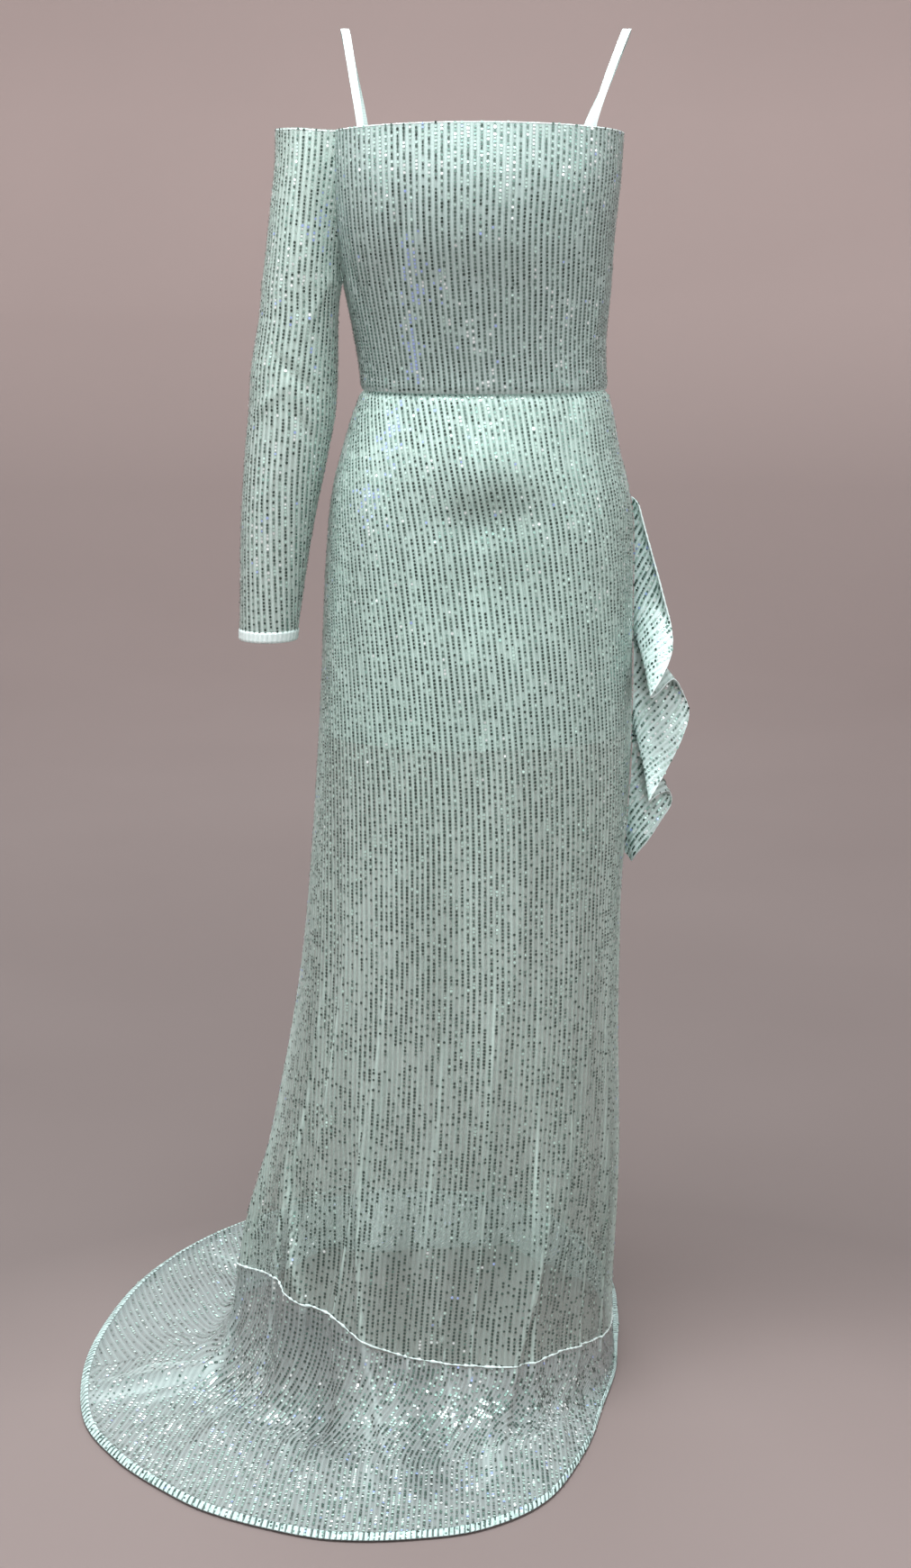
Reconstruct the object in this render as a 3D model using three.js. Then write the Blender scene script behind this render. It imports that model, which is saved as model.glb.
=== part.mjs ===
// Evening gown: one long sleeve, straight neckline, two narrow straps, side cascade and train.
// Sizes are millimetres. Heights in the tables are measured up from the floor.
import * as THREE from 'three';

const SHOULDER_HEIGHT = 1358;
const CLOTH_WALL = 2.0;
const LINING_WALL = 1.2;
const CASCADE_WALL = 1.6;
const STRAP_WALL = 1.5;
const SEAM_GAP = 0.3;
const HALF_TURN = 180;
const FULL_TURN = 360;
const DEGREE = Math.PI / HALF_TURN;
const SLOPE_STEP = 0.0005;

// The worn outline, one row a section: x at the sleeve side and at the cascade side, y at front and back.
const BODY_RINGS = [
  { height: 1270, sleeveSide: -152, cascadeSide: 132, front: -111, back: 102 },
  { height: 1218, sleeveSide: -150, cascadeSide: 129, front: -120, back: 108 },
  { height: 1167, sleeveSide: -146, cascadeSide: 124, front: -118, back: 110 },
  { height: 1115, sleeveSide: -138, cascadeSide: 121, front: -107, back: 104 },
  { height: 1063, sleeveSide: -128, cascadeSide: 117, front: -98, back: 96 },
  { height: 1019, sleeveSide: -123, cascadeSide: 119, front: -94, back: 91 },
  { height: 994, sleeveSide: -131, cascadeSide: 125, front: -99, back: 100 },
  { height: 958, sleeveSide: -142, cascadeSide: 132, front: -107, back: 116 },
  { height: 923, sleeveSide: -151, cascadeSide: 141, front: -112, back: 128 },
  { height: 887, sleeveSide: -156, cascadeSide: 146, front: -116, back: 136 },
  { height: 815, sleeveSide: -161, cascadeSide: 147, front: -119, back: 141 },
  { height: 743, sleeveSide: -164, cascadeSide: 147, front: -121, back: 139 },
  { height: 669, sleeveSide: -168, cascadeSide: 147, front: -122, back: 136 },
  { height: 595, sleeveSide: -173, cascadeSide: 144, front: -124, back: 137 },
  { height: 520, sleeveSide: -179, cascadeSide: 139, front: -127, back: 141 },
  { height: 444, sleeveSide: -187, cascadeSide: 138, front: -131, back: 149 },
  { height: 367, sleeveSide: -199, cascadeSide: 138, front: -136, back: 161 },
  { height: 289, sleeveSide: -214, cascadeSide: 140, front: -142, back: 177 },
  { height: 210, sleeveSide: -231, cascadeSide: 141, front: -149, back: 198 },
  { height: 140, sleeveSide: -245, cascadeSide: 139, front: -156, back: 222 },
  { height: 90, sleeveSide: -254, cascadeSide: 137, front: -163, back: 240 },
  { height: 40, sleeveSide: -262, cascadeSide: 137, front: -172, back: 258 },
];
const RING_SQUARENESS = 0.03;

const NECKLINE_FRONT = 1270;
const NECKLINE_SIDE = 1262;
const NECKLINE_ROW = 1266;
const NECKLINE_DIP_POWER = 1.5;
const WAIST_HEIGHT = 1019;
const UNDERARM_HEIGHT = 1120;
const ARMHOLE_HALF_ANGLE = 22;
const ARMHOLE_ROUNDNESS = 0.55;
const LINING_TOP = 1014;
const LINING_HEM = 680;
const LINING_INSET = 4.4;
const LINING_TOP_INSET = 2.5;
const LINING_EASE_LENGTH = 60;
const SEAM_ANGLE_GAP = 0.07;

// Long folds of the skirt. Angle 0 is the cascade side, 90 the front, 180 the sleeve side, 270 the back.
const SKIRT_FOLDS = [
  { angleHigh: 47, angleLow: 62, top: 330, spread: 8, depth: 12 },
  { angleHigh: 108, angleLow: 112, top: 300, spread: 7, depth: 12 },
  { angleHigh: 131, angleLow: 134, top: 270, spread: 7, depth: 11 },
  { angleHigh: 160, angleLow: 158, top: 420, spread: 10, depth: 7 },
  { angleHigh: 205, angleLow: 208, top: 460, spread: 9, depth: 11 },
  { angleHigh: 247, angleLow: 243, top: 520, spread: 11, depth: 14 },
  { angleHigh: 286, angleLow: 291, top: 480, spread: 9, depth: 12 },
  { angleHigh: 330, angleLow: 326, top: 400, spread: 8, depth: 9 },
];
const FOLD_LOW_HEIGHT = 60;

// The train on the floor, one row a direction: seam height, hem point, where it first lies flat, fold depth.
const TRAIN_ROWS = [
  { angle: 0, seam: 40, hemX: 144, hemY: 40, foot: 0.5, swell: 0 },
  { angle: 15, seam: 41, hemX: 137, hemY: -37, foot: 0.5, swell: 0 },
  { angle: 30, seam: 50, hemX: 120, hemY: -118, foot: 0.5, swell: 0 },
  { angle: 45, seam: 61, hemX: 99, hemY: -215, foot: 0.42, swell: 3 },
  { angle: 60, seam: 64, hemX: 58, hemY: -322, foot: 0.46, swell: 14 },
  { angle: 75, seam: 65, hemX: -3, hemY: -380, foot: 0.5, swell: 2 },
  { angle: 90, seam: 72, hemX: -72, hemY: -400, foot: 0.48, swell: 3 },
  { angle: 105, seam: 85, hemX: -142, hemY: -401, foot: 0.42, swell: 9 },
  { angle: 114, seam: 104, hemX: -192, hemY: -385, foot: 0.3, swell: 12 },
  { angle: 127, seam: 114, hemX: -262, hemY: -347, foot: 0.26, swell: 3 },
  { angle: 137, seam: 127, hemX: -310, hemY: -302, foot: 0.28, swell: 8 },
  { angle: 150, seam: 125, hemX: -360, hemY: -240, foot: 0.28, swell: 2 },
  { angle: 165, seam: 114, hemX: -403, hemY: -153, foot: 0.3, swell: 3 },
  { angle: 180, seam: 108, hemX: -420, hemY: -28, foot: 0.36, swell: 9 },
  { angle: 195, seam: 104, hemX: -412, hemY: 95, foot: 0.3, swell: 2 },
  { angle: 210, seam: 104, hemX: -384, hemY: 220, foot: 0.28, swell: 7 },
  { angle: 225, seam: 104, hemX: -332, hemY: 330, foot: 0.3, swell: 2 },
  { angle: 243, seam: 102, hemX: -255, hemY: 420, foot: 0.34, swell: 12 },
  { angle: 257, seam: 100, hemX: -172, hemY: 474, foot: 0.3, swell: 2 },
  { angle: 272, seam: 98, hemX: -76, hemY: 496, foot: 0.32, swell: 4 },
  { angle: 290, seam: 92, hemX: 34, hemY: 462, foot: 0.34, swell: 11 },
  { angle: 305, seam: 82, hemX: 101, hemY: 382, foot: 0.36, swell: 2 },
  { angle: 326, seam: 60, hemX: 145, hemY: 226, foot: 0.4, swell: 6 },
  { angle: 344, seam: 44, hemX: 149, hemY: 120, foot: 0.5, swell: 0 },
  { angle: 360, seam: 40, hemX: 144, hemY: 40, foot: 0.5, swell: 0 },
];
const FLOOR_LIFT = 2.2;
const TRAIN_START_LEAN = 0.3;
const SWELL_REACH = 1.15;
const HEM_ROLL_HEIGHT = 4;
const HEM_ROLL_WIDTH = 16;

// The sleeve, one row a section: x at the outer and inner side, y at front and back.
const SLEEVE_RINGS = [
  { height: 1266, outer: -203, inner: -100, front: -58, back: 60 },
  { height: 1235, outer: -204, inner: -108, front: -58, back: 59 },
  { height: 1192, outer: -209, inner: -120, front: -56, back: 57 },
  { height: 1141, outer: -215, inner: -134, front: -53, back: 53 },
  { height: 1120, outer: -218, inner: -140.2, front: -51, back: 51 },
  { height: 1089, outer: -221, inner: -144, front: -49, back: 48 },
  { height: 1037, outer: -230, inner: -145, front: -48, back: 46 },
  { height: 994, outer: -233, inner: -148, front: -47, back: 44 },
  { height: 958, outer: -237, inner: -155, front: -46, back: 41 },
  { height: 887, outer: -242, inner: -170, front: -44, back: 35 },
  { height: 815, outer: -244, inner: -182, front: -41, back: 28 },
  { height: 772, outer: -245, inner: -188, front: -39, back: 22 },
];
const SLEEVE_TOP = 1266;
const CUFF_HEIGHT = 772;
const SLEEVE_EDGE_SHARE = 0.25;
const SLEEVE_OPEN_ANGLE = 78;
const SLEEVE_SEAM_ANGLE = 0.35;

// The straps are sewn inside the bodice at two angles. One row a point over the shoulder between them:
// x and y at the strap's middle, and how far its width is turned in plan.
const STRAP_WIDTH = 8;
const STRAP_END_HEIGHT = 1256;
const STRAP_LEAVE_HEIGHT = 1270;
const STRAP_INSET = 3.1;
const STRAPS = {
  sleeveSide: {
    frontAngle: 140,
    backAngle: 220,
    endTurn: 42,
    over: [
      { at: 0.3, x: -126, y: -52, height: 1310, turn: -22 },
      { at: 0.45, x: -133, y: -25, height: 1350, turn: -6 },
      { at: 0.54, x: -136, y: 3, height: 1358.8, turn: 0 },
      { at: 0.63, x: -135, y: 30, height: 1349, turn: 6 },
      { at: 0.78, x: -127, y: 55, height: 1308, turn: 22 },
    ],
  },
  cascadeSide: {
    frontAngle: 40,
    backAngle: 320,
    endTurn: -42,
    over: [
      { at: 0.3, x: 113, y: -50, height: 1310, turn: 22 },
      { at: 0.45, x: 129, y: -25, height: 1350, turn: 6 },
      { at: 0.54, x: 134, y: 3, height: 1358.8, turn: 0 },
      { at: 0.63, x: 132, y: 30, height: 1349, turn: -6 },
      { at: 0.78, x: 117, y: 54, height: 1308, turn: -22 },
    ],
  },
};

// The side cascade, one row a place on its free edge: height on the side seam, then the edge point.
const CASCADE_ROWS = [
  { seam: 912, x: 151, y: 2, height: 906 },
  { seam: 893, x: 158, y: 0, height: 880 },
  { seam: 868, x: 168, y: -5, height: 845 },
  { seam: 840, x: 177, y: -11, height: 812 },
  { seam: 815, x: 184, y: -18, height: 783 },
  { seam: 801, x: 183, y: -36, height: 762 },
  { seam: 790, x: 173, y: -52, height: 741 },
  { seam: 779, x: 162, y: -56, height: 722 },
  { seam: 770, x: 170, y: -38, height: 722 },
  { seam: 762, x: 187, y: -8, height: 731 },
  { seam: 754, x: 198, y: 14, height: 716 },
  { seam: 743, x: 206, y: 19, height: 693 },
  { seam: 725, x: 199, y: 8, height: 669 },
  { seam: 709, x: 187, y: -12, height: 650 },
  { seam: 696, x: 174, y: -33, height: 632 },
  { seam: 684, x: 163, y: -43, height: 614 },
  { seam: 673, x: 172, y: -24, height: 616 },
  { seam: 660, x: 186, y: 4, height: 614 },
  { seam: 645, x: 189, y: 11, height: 600 },
  { seam: 625, x: 178, y: 0, height: 585 },
  { seam: 602, x: 164, y: -13, height: 567 },
  { seam: 576, x: 152, y: -9, height: 551 },
  { seam: 550, x: 149, y: 0, height: 543 },
];
const CASCADE_STANDOFF = 1.9;
const CASCADE_BOW_UP = 6;
const CASCADE_BOW_OUT = 3;
const CASCADE_BOW_REACH = 30;

const CLOTH_COLOUR = 0xb9c8c2;
const LINING_COLOUR = 0xd3ddd7;
const STRAP_COLOUR = 0xf2f4f3;

// One column of a table at a place, along a smooth line through the rows.
function readColumn(rows, key, column, place) {
  const rising = rows[rows.length - 1][key] > rows[0][key];
  const table = rising ? rows : [...rows].reverse();
  const last = table.length - 1;
  const held = Math.min(Math.max(place, table[0][key]), table[last][key]);
  let low = 0;
  while (low < last - 1 && table[low + 1][key] < held) {
    low += 1;
  }
  const slope = (index) => {
    const before = table[Math.max(index - 1, 0)];
    const after = table[Math.min(index + 1, last)];
    return (after[column] - before[column]) / (after[key] - before[key]);
  };
  const span = table[low + 1][key] - table[low][key];
  const share = (held - table[low][key]) / span;
  const square = share * share;
  const cube = square * share;
  return table[low][column] * (2 * cube - 3 * square + 1)
    + slope(low) * span * (cube - 2 * square + share)
    + table[low + 1][column] * (3 * square - 2 * cube)
    + slope(low + 1) * span * (cube - square);
}

function mix(from, to, share) {
  return from + (to - from) * share;
}

function smoothShare(value) {
  const held = Math.min(Math.max(value, 0), 1);
  return held * held * (3 - 2 * held);
}

function shortestTurn(angle) {
  return ((angle + HALF_TURN) % FULL_TURN + FULL_TURN) % FULL_TURN - HALF_TURN;
}

function foldDepth(angle, height) {
  let depth = 0;
  for (const fold of SKIRT_FOLDS) {
    const growth = smoothShare((fold.top - height) / (fold.top - FOLD_LOW_HEIGHT));
    const centre = mix(fold.angleHigh, fold.angleLow, growth);
    const away = shortestTurn(angle - centre) / fold.spread;
    depth += fold.depth * growth * Math.exp(-away * away);
  }
  return depth;
}

// A point of the worn form at an angle round the body and a height over the floor.
function bodyPoint(angle, height) {
  const sleeveSide = readColumn(BODY_RINGS, 'height', 'sleeveSide', height);
  const cascadeSide = readColumn(BODY_RINGS, 'height', 'cascadeSide', height);
  const front = readColumn(BODY_RINGS, 'height', 'front', height);
  const back = readColumn(BODY_RINGS, 'height', 'back', height);
  const halfWidth = (cascadeSide - sleeveSide) / 2;
  const halfDepth = (back - front) / 2;
  const across = Math.cos(angle * DEGREE);
  const forward = Math.sin(angle * DEGREE);
  const square = 1 + RING_SQUARENESS * (2 * across * forward) ** 2;
  const fold = foldDepth(angle, height);
  return new THREE.Vector3(
    (sleeveSide + cascadeSide) / 2 + (halfWidth * square + fold) * across,
    (front + back) / 2 - (halfDepth * square + fold) * forward,
    height - SHOULDER_HEIGHT,
  );
}

function necklineHeight(angle) {
  return mix(NECKLINE_SIDE, NECKLINE_FRONT, Math.abs(Math.sin(angle * DEGREE)) ** NECKLINE_DIP_POWER);
}

// Half the angle cut away for the sleeve at a height, nothing under the arm.
function armholeAngle(height) {
  const rise = (height - UNDERARM_HEIGHT) / (NECKLINE_ROW - UNDERARM_HEIGHT);
  return SEAM_ANGLE_GAP + ARMHOLE_HALF_ANGLE * Math.max(rise, 0) ** ARMHOLE_ROUNDNESS;
}

function bodicePoint(angle, down) {
  return bodyPoint(angle, mix(necklineHeight(angle), WAIST_HEIGHT + SEAM_GAP / 2, down));
}

function bodiceFront(across, down) {
  const row = mix(NECKLINE_ROW, WAIST_HEIGHT, down);
  return bodicePoint(mix(SEAM_ANGLE_GAP, HALF_TURN - armholeAngle(row), across), down);
}

function bodiceBack(across, down) {
  const row = mix(NECKLINE_ROW, WAIST_HEIGHT, down);
  return bodicePoint(mix(HALF_TURN + armholeAngle(row), FULL_TURN - SEAM_ANGLE_GAP, across), down);
}

function skirtPoint(angle, down) {
  const seam = readColumn(TRAIN_ROWS, 'angle', 'seam', angle);
  return bodyPoint(angle, mix(WAIST_HEIGHT - SEAM_GAP / 2, seam + SEAM_GAP / 2, down));
}

function frontAngle(across) {
  return mix(SEAM_ANGLE_GAP, HALF_TURN - SEAM_ANGLE_GAP, across);
}

function backAngle(across) {
  return mix(HALF_TURN + SEAM_ANGLE_GAP, FULL_TURN - SEAM_ANGLE_GAP, across);
}

// The train falls from its seam, bends to the floor and runs flat to its rolled hem.
function trainPoint(angle, out) {
  const seam = readColumn(TRAIN_ROWS, 'angle', 'seam', angle);
  const top = bodyPoint(angle, seam - SEAM_GAP / 2);
  const hemX = readColumn(TRAIN_ROWS, 'angle', 'hemX', angle);
  const hemY = readColumn(TRAIN_ROWS, 'angle', 'hemY', angle);
  const foot = readColumn(TRAIN_ROWS, 'angle', 'foot', angle);
  const swell = readColumn(TRAIN_ROWS, 'angle', 'swell', angle);
  const reach = Math.hypot(hemX - top.x, hemY - top.y);
  const rise = top.z + SHOULDER_HEIGHT - FLOOR_LIFT;
  const curveLength = Math.hypot(rise, reach * foot);
  const bend = curveLength / (curveLength + reach * (1 - foot));
  let gone = mix(foot, 1, (out - bend) / (1 - bend));
  let up = FLOOR_LIFT;
  if (out < bend) {
    const share = out / bend;
    gone = foot * share * mix(TRAIN_START_LEAN, 1, share);
    up = FLOOR_LIFT + rise * (1 - share) ** 2;
  }
  const left = (1 - gone) * reach;
  const fromCrown = (left - HEM_ROLL_WIDTH / 2) / (HEM_ROLL_WIDTH / 3);
  const roll = Math.min(HEM_ROLL_HEIGHT, reach / 10) * gone * Math.exp(-fromCrown * fromCrown);
  const ripple = swell * Math.sin(Math.PI * Math.min(gone * SWELL_REACH, 1)) ** 2;
  return new THREE.Vector3(
    mix(top.x, hemX, gone),
    mix(top.y, hemY, gone),
    up + roll + ripple - SHOULDER_HEIGHT,
  );
}

// The sleeve is one piece wrapped round the arm; over the underarm its edges follow the armhole.
function sleevePoint(around, down) {
  const height = mix(SLEEVE_TOP, CUFF_HEIGHT, down);
  const outer = readColumn(SLEEVE_RINGS, 'height', 'outer', height);
  const inner = readColumn(SLEEVE_RINGS, 'height', 'inner', height);
  const front = readColumn(SLEEVE_RINGS, 'height', 'front', height);
  const back = readColumn(SLEEVE_RINGS, 'height', 'back', height);
  const rise = Math.max((height - UNDERARM_HEIGHT) / (SLEEVE_TOP - UNDERARM_HEIGHT), 0);
  const open = SLEEVE_SEAM_ANGLE + SLEEVE_OPEN_ANGLE * rise ** ARMHOLE_ROUNDNESS;
  const ringPoint = (angle) => new THREE.Vector3(
    (outer + inner) / 2 + (inner - outer) / 2 * Math.cos(angle * DEGREE),
    (front + back) / 2 - (back - front) / 2 * Math.sin(angle * DEGREE),
    height - SHOULDER_HEIGHT,
  );
  const point = ringPoint(mix(open, FULL_TURN - open, around));
  if (rise > 0) {
    const bodiceDown = (NECKLINE_ROW - height) / (NECKLINE_ROW - WAIST_HEIGHT);
    const nearFront = 1 - smoothShare(around / SLEEVE_EDGE_SHARE);
    const nearBack = 1 - smoothShare((1 - around) / SLEEVE_EDGE_SHARE);
    const frontSeam = bodiceFront(1, bodiceDown).sub(ringPoint(open));
    const backSeam = bodiceBack(0, bodiceDown).sub(ringPoint(FULL_TURN - open));
    frontSeam.x -= SEAM_GAP;
    backSeam.x -= SEAM_GAP;
    point.addScaledVector(frontSeam, nearFront);
    point.addScaledVector(backSeam, nearBack);
  }
  return point;
}

// The strap's rows with its two sewn ends, each a little inside the bodice wall.
// The body's heights rise where other pieces run down, so its normal there points inward.
function strapRows(strap) {
  const anchor = (at, angle, height, turn) => {
    const inward = outwardAt(bodyPoint, angle, height);
    const point = bodyPoint(angle, height).addScaledVector(inward, STRAP_INSET);
    return { at, x: point.x, y: point.y, height, turn };
  };
  return [
    anchor(0, strap.frontAngle, STRAP_END_HEIGHT, -strap.endTurn),
    anchor(0.1, strap.frontAngle, STRAP_LEAVE_HEIGHT, -strap.endTurn),
    ...strap.over,
    anchor(0.92, strap.backAngle, STRAP_LEAVE_HEIGHT, strap.endTurn),
    anchor(1, strap.backAngle, STRAP_END_HEIGHT, strap.endTurn),
  ];
}

function strapPoint(rows, across, along) {
  const turn = readColumn(rows, 'at', 'turn', along) * DEGREE;
  const offset = (across - 0.5) * STRAP_WIDTH;
  return new THREE.Vector3(
    readColumn(rows, 'at', 'x', along) + offset * Math.cos(turn),
    readColumn(rows, 'at', 'y', along) + offset * Math.sin(turn),
    readColumn(rows, 'at', 'height', along) - SHOULDER_HEIGHT,
  );
}

function cascadePoint(across, down) {
  const first = CASCADE_ROWS[0].seam;
  const lastSeam = CASCADE_ROWS[CASCADE_ROWS.length - 1].seam;
  const height = mix(first, lastSeam, down);
  const seam = bodyPoint(0, height);
  seam.x += CASCADE_STANDOFF;
  const edge = new THREE.Vector3(
    readColumn(CASCADE_ROWS, 'seam', 'x', height),
    readColumn(CASCADE_ROWS, 'seam', 'y', height),
    readColumn(CASCADE_ROWS, 'seam', 'height', height) - SHOULDER_HEIGHT,
  );
  const bow = Math.sin(Math.PI * across) * smoothShare((edge.x - seam.x) / CASCADE_BOW_REACH);
  const point = seam.lerp(edge, across);
  point.x += CASCADE_BOW_OUT * bow;
  point.z += CASCADE_BOW_UP * bow;
  return point;
}

function liningPoint(angle, down) {
  const surface = (u, v) => bodyPoint(u, mix(LINING_TOP, LINING_HEM, v));
  const eased = smoothShare(down * (LINING_TOP - LINING_HEM) / LINING_EASE_LENGTH);
  const inset = mix(LINING_TOP_INSET, LINING_INSET, eased);
  return surface(angle, down).addScaledVector(outwardAt(surface, angle, down), -inset);
}

// The unit normal of a surface: away from the body where its second parameter runs down.
function outwardAt(surface, across, down) {
  const sideways = surface(across + SLOPE_STEP, down).sub(surface(across - SLOPE_STEP, down));
  const lengthways = surface(across, down + SLOPE_STEP).sub(surface(across, down - SLOPE_STEP));
  return sideways.cross(lengthways).normalize();
}

// A closed wall of cloth: the outer face on the surface, the inner face one wall behind it.
// At a level edge the wall is cut square to the floor, so two pieces keep their gap there.
function clothWall(piece) {
  const { name, surface, columns, rows, wall, colour } = piece;
  const positions = [];
  const outward = [];
  for (let row = 0; row <= rows; row += 1) {
    for (let column = 0; column <= columns; column += 1) {
      const direction = outwardAt(surface, column / columns, row / rows);
      if ((row === 0 && piece.levelTop) || (row === rows && piece.levelFoot)) {
        direction.setZ(0).normalize();
      }
      positions.push(surface(column / columns, row / rows));
      outward.push(direction);
    }
  }
  const faceCount = positions.length;
  for (let index = 0; index < faceCount; index += 1) {
    positions.push(positions[index].clone().addScaledVector(outward[index], -wall));
  }
  const outer = (column, row) => row * (columns + 1) + column;
  const inner = (column, row) => faceCount + outer(column, row);
  const triangles = [];
  const quad = (a, b, c, d) => triangles.push(a, b, c, a, c, d);
  for (let row = 0; row < rows; row += 1) {
    for (let column = 0; column < columns; column += 1) {
      quad(outer(column, row), outer(column + 1, row), outer(column + 1, row + 1), outer(column, row + 1));
      quad(inner(column, row), inner(column, row + 1), inner(column + 1, row + 1), inner(column + 1, row));
    }
    quad(outer(0, row), outer(0, row + 1), inner(0, row + 1), inner(0, row));
    quad(outer(columns, row), inner(columns, row), inner(columns, row + 1), outer(columns, row + 1));
  }
  for (let column = 0; column < columns; column += 1) {
    quad(outer(column, 0), inner(column, 0), inner(column + 1, 0), outer(column + 1, 0));
    quad(outer(column, rows), outer(column + 1, rows), inner(column + 1, rows), inner(column, rows));
  }
  const geometry = new THREE.BufferGeometry();
  const flat = positions.flatMap((point) => [point.x, point.y, point.z]);
  geometry.setAttribute('position', new THREE.Float32BufferAttribute(flat, 3));
  geometry.setIndex(triangles);
  geometry.computeVertexNormals();
  const material = new THREE.MeshStandardMaterial({ color: colour, roughness: 0.6, metalness: 0 });
  const mesh = new THREE.Mesh(geometry, material);
  mesh.name = name;
  return mesh;
}

const sequinned = { wall: CLOTH_WALL, colour: CLOTH_COLOUR };
const plain = { wall: LINING_WALL, colour: LINING_COLOUR, columns: 16, rows: 7 };
const elastic = { wall: STRAP_WALL, colour: STRAP_COLOUR, columns: 1, rows: 22 };

const sleeveStrap = strapRows(STRAPS.sleeveSide);
const cascadeStrap = strapRows(STRAPS.cascadeSide);

const PIECES = [
  { ...sequinned, name: 'bodice_front', columns: 18, rows: 8, levelFoot: true, surface: bodiceFront },
  { ...sequinned, name: 'bodice_back', columns: 16, rows: 8, levelFoot: true, surface: bodiceBack },
  { ...sequinned, name: 'sleeve', columns: 24, rows: 16, surface: sleevePoint },
  {
    ...elastic,
    name: 'strap_sleeve_side',
    surface: (across, along) => strapPoint(sleeveStrap, across, along),
  },
  {
    ...elastic,
    name: 'strap_cascade_side',
    surface: (across, along) => strapPoint(cascadeStrap, across, along),
  },
  {
    ...sequinned,
    name: 'skirt_front',
    columns: 36,
    rows: 17,
    levelTop: true,
    levelFoot: true,
    surface: (across, down) => skirtPoint(frontAngle(across), down),
  },
  {
    ...sequinned,
    name: 'skirt_back',
    columns: 30,
    rows: 17,
    levelTop: true,
    levelFoot: true,
    surface: (across, down) => skirtPoint(backAngle(across), down),
  },
  { ...plain, name: 'lining_front', surface: (across, down) => liningPoint(frontAngle(across), down) },
  { ...plain, name: 'lining_back', surface: (across, down) => liningPoint(backAngle(across), down) },
  {
    ...sequinned,
    name: 'side_cascade',
    wall: CASCADE_WALL,
    columns: 4,
    rows: 56,
    surface: cascadePoint,
  },
  {
    ...sequinned,
    name: 'train_front',
    columns: 36,
    rows: 9,
    levelTop: true,
    surface: (across, out) => trainPoint(frontAngle(across), out),
  },
  {
    ...sequinned,
    name: 'train_back',
    columns: 30,
    rows: 9,
    levelTop: true,
    surface: (across, out) => trainPoint(backAngle(across), out),
  },
];

const gown = new THREE.Group();
gown.name = 'evening_gown';
gown.add(...PIECES.map(clothWall));

export default gown;
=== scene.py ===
# Evening gown of sequinned stretch mesh: one long sleeve, two straps, a side cascade and a train.
# Tables are in millimetres, with heights measured up from the floor. Meshes are in metres.
import math
from functools import partial

import bpy
import numpy as np
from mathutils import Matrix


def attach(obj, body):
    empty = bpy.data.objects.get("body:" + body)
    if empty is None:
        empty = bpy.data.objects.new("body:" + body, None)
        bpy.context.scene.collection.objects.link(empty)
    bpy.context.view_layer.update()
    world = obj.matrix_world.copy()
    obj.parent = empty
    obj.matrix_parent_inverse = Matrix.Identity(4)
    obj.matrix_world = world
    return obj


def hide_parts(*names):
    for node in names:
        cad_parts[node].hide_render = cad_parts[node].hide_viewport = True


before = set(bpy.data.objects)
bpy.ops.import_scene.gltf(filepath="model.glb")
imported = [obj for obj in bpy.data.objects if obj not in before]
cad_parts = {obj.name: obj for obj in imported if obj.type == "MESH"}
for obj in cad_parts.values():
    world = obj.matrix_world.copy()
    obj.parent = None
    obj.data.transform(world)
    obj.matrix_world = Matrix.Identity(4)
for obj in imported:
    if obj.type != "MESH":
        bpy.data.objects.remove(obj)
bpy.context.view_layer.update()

METRE = 0.001
MERGE_DISTANCE = 0.00001
SHOULDER_HEIGHT = 1358
SEAM_GAP = 0.3
HALF_TURN = 180
FULL_TURN = 360
SLOPE_STEP = 0.0005


def table(columns, *rows):
    """A table with named columns, each column an array. The first column is the place."""
    return {name: np.array(values, float) for name, values in zip(columns.split(), zip(*rows))}


# The worn outline, one row a section: x at the sleeve side and the cascade side, y at front and back.
BODY = table(
    "height sleeve_side cascade_side front back",
    (1270, -152, 132, -111, 102),
    (1218, -150, 129, -120, 108),
    (1167, -146, 124, -118, 110),
    (1115, -138, 121, -107, 104),
    (1063, -128, 117, -98, 96),
    (1019, -123, 119, -94, 91),
    (994, -131, 125, -99, 100),
    (958, -142, 132, -107, 116),
    (923, -151, 141, -112, 128),
    (887, -156, 146, -116, 136),
    (815, -161, 147, -119, 141),
    (743, -164, 147, -121, 139),
    (669, -168, 147, -122, 136),
    (595, -173, 144, -124, 137),
    (520, -179, 139, -127, 141),
    (444, -187, 138, -131, 149),
    (367, -199, 138, -136, 161),
    (289, -214, 140, -142, 177),
    (210, -231, 141, -149, 198),
    (140, -245, 139, -156, 222),
    (90, -254, 137, -163, 240),
    (40, -262, 137, -172, 258),
)
RING_SQUARENESS = 0.03

NECKLINE_FRONT = 1270
NECKLINE_SIDE = 1262
NECKLINE_ROW = 1266
NECKLINE_DIP_POWER = 1.5
WAIST_HEIGHT = 1019
UNDERARM_HEIGHT = 1120
ARMHOLE_HALF_ANGLE = 22
ARMHOLE_ROUNDNESS = 0.55
LINING_TOP = 1014
LINING_HEM = 680
LINING_INSET = 4.4
LINING_TOP_INSET = 2.5
LINING_EASE_LENGTH = 60
SEAM_ANGLE_GAP = 0.07

# Long folds of the skirt. Angle 0 is the cascade side, 90 the front, 180 the sleeve side, 270 the back.
SKIRT_FOLDS = table(
    "angle_high angle_low top spread depth",
    (47, 62, 330, 8, 12),
    (108, 112, 300, 7, 12),
    (131, 134, 270, 7, 11),
    (160, 158, 420, 10, 7),
    (205, 208, 460, 9, 11),
    (247, 243, 520, 11, 14),
    (286, 291, 480, 9, 12),
    (330, 326, 400, 8, 9),
)
FOLD_LOW_HEIGHT = 60

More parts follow.
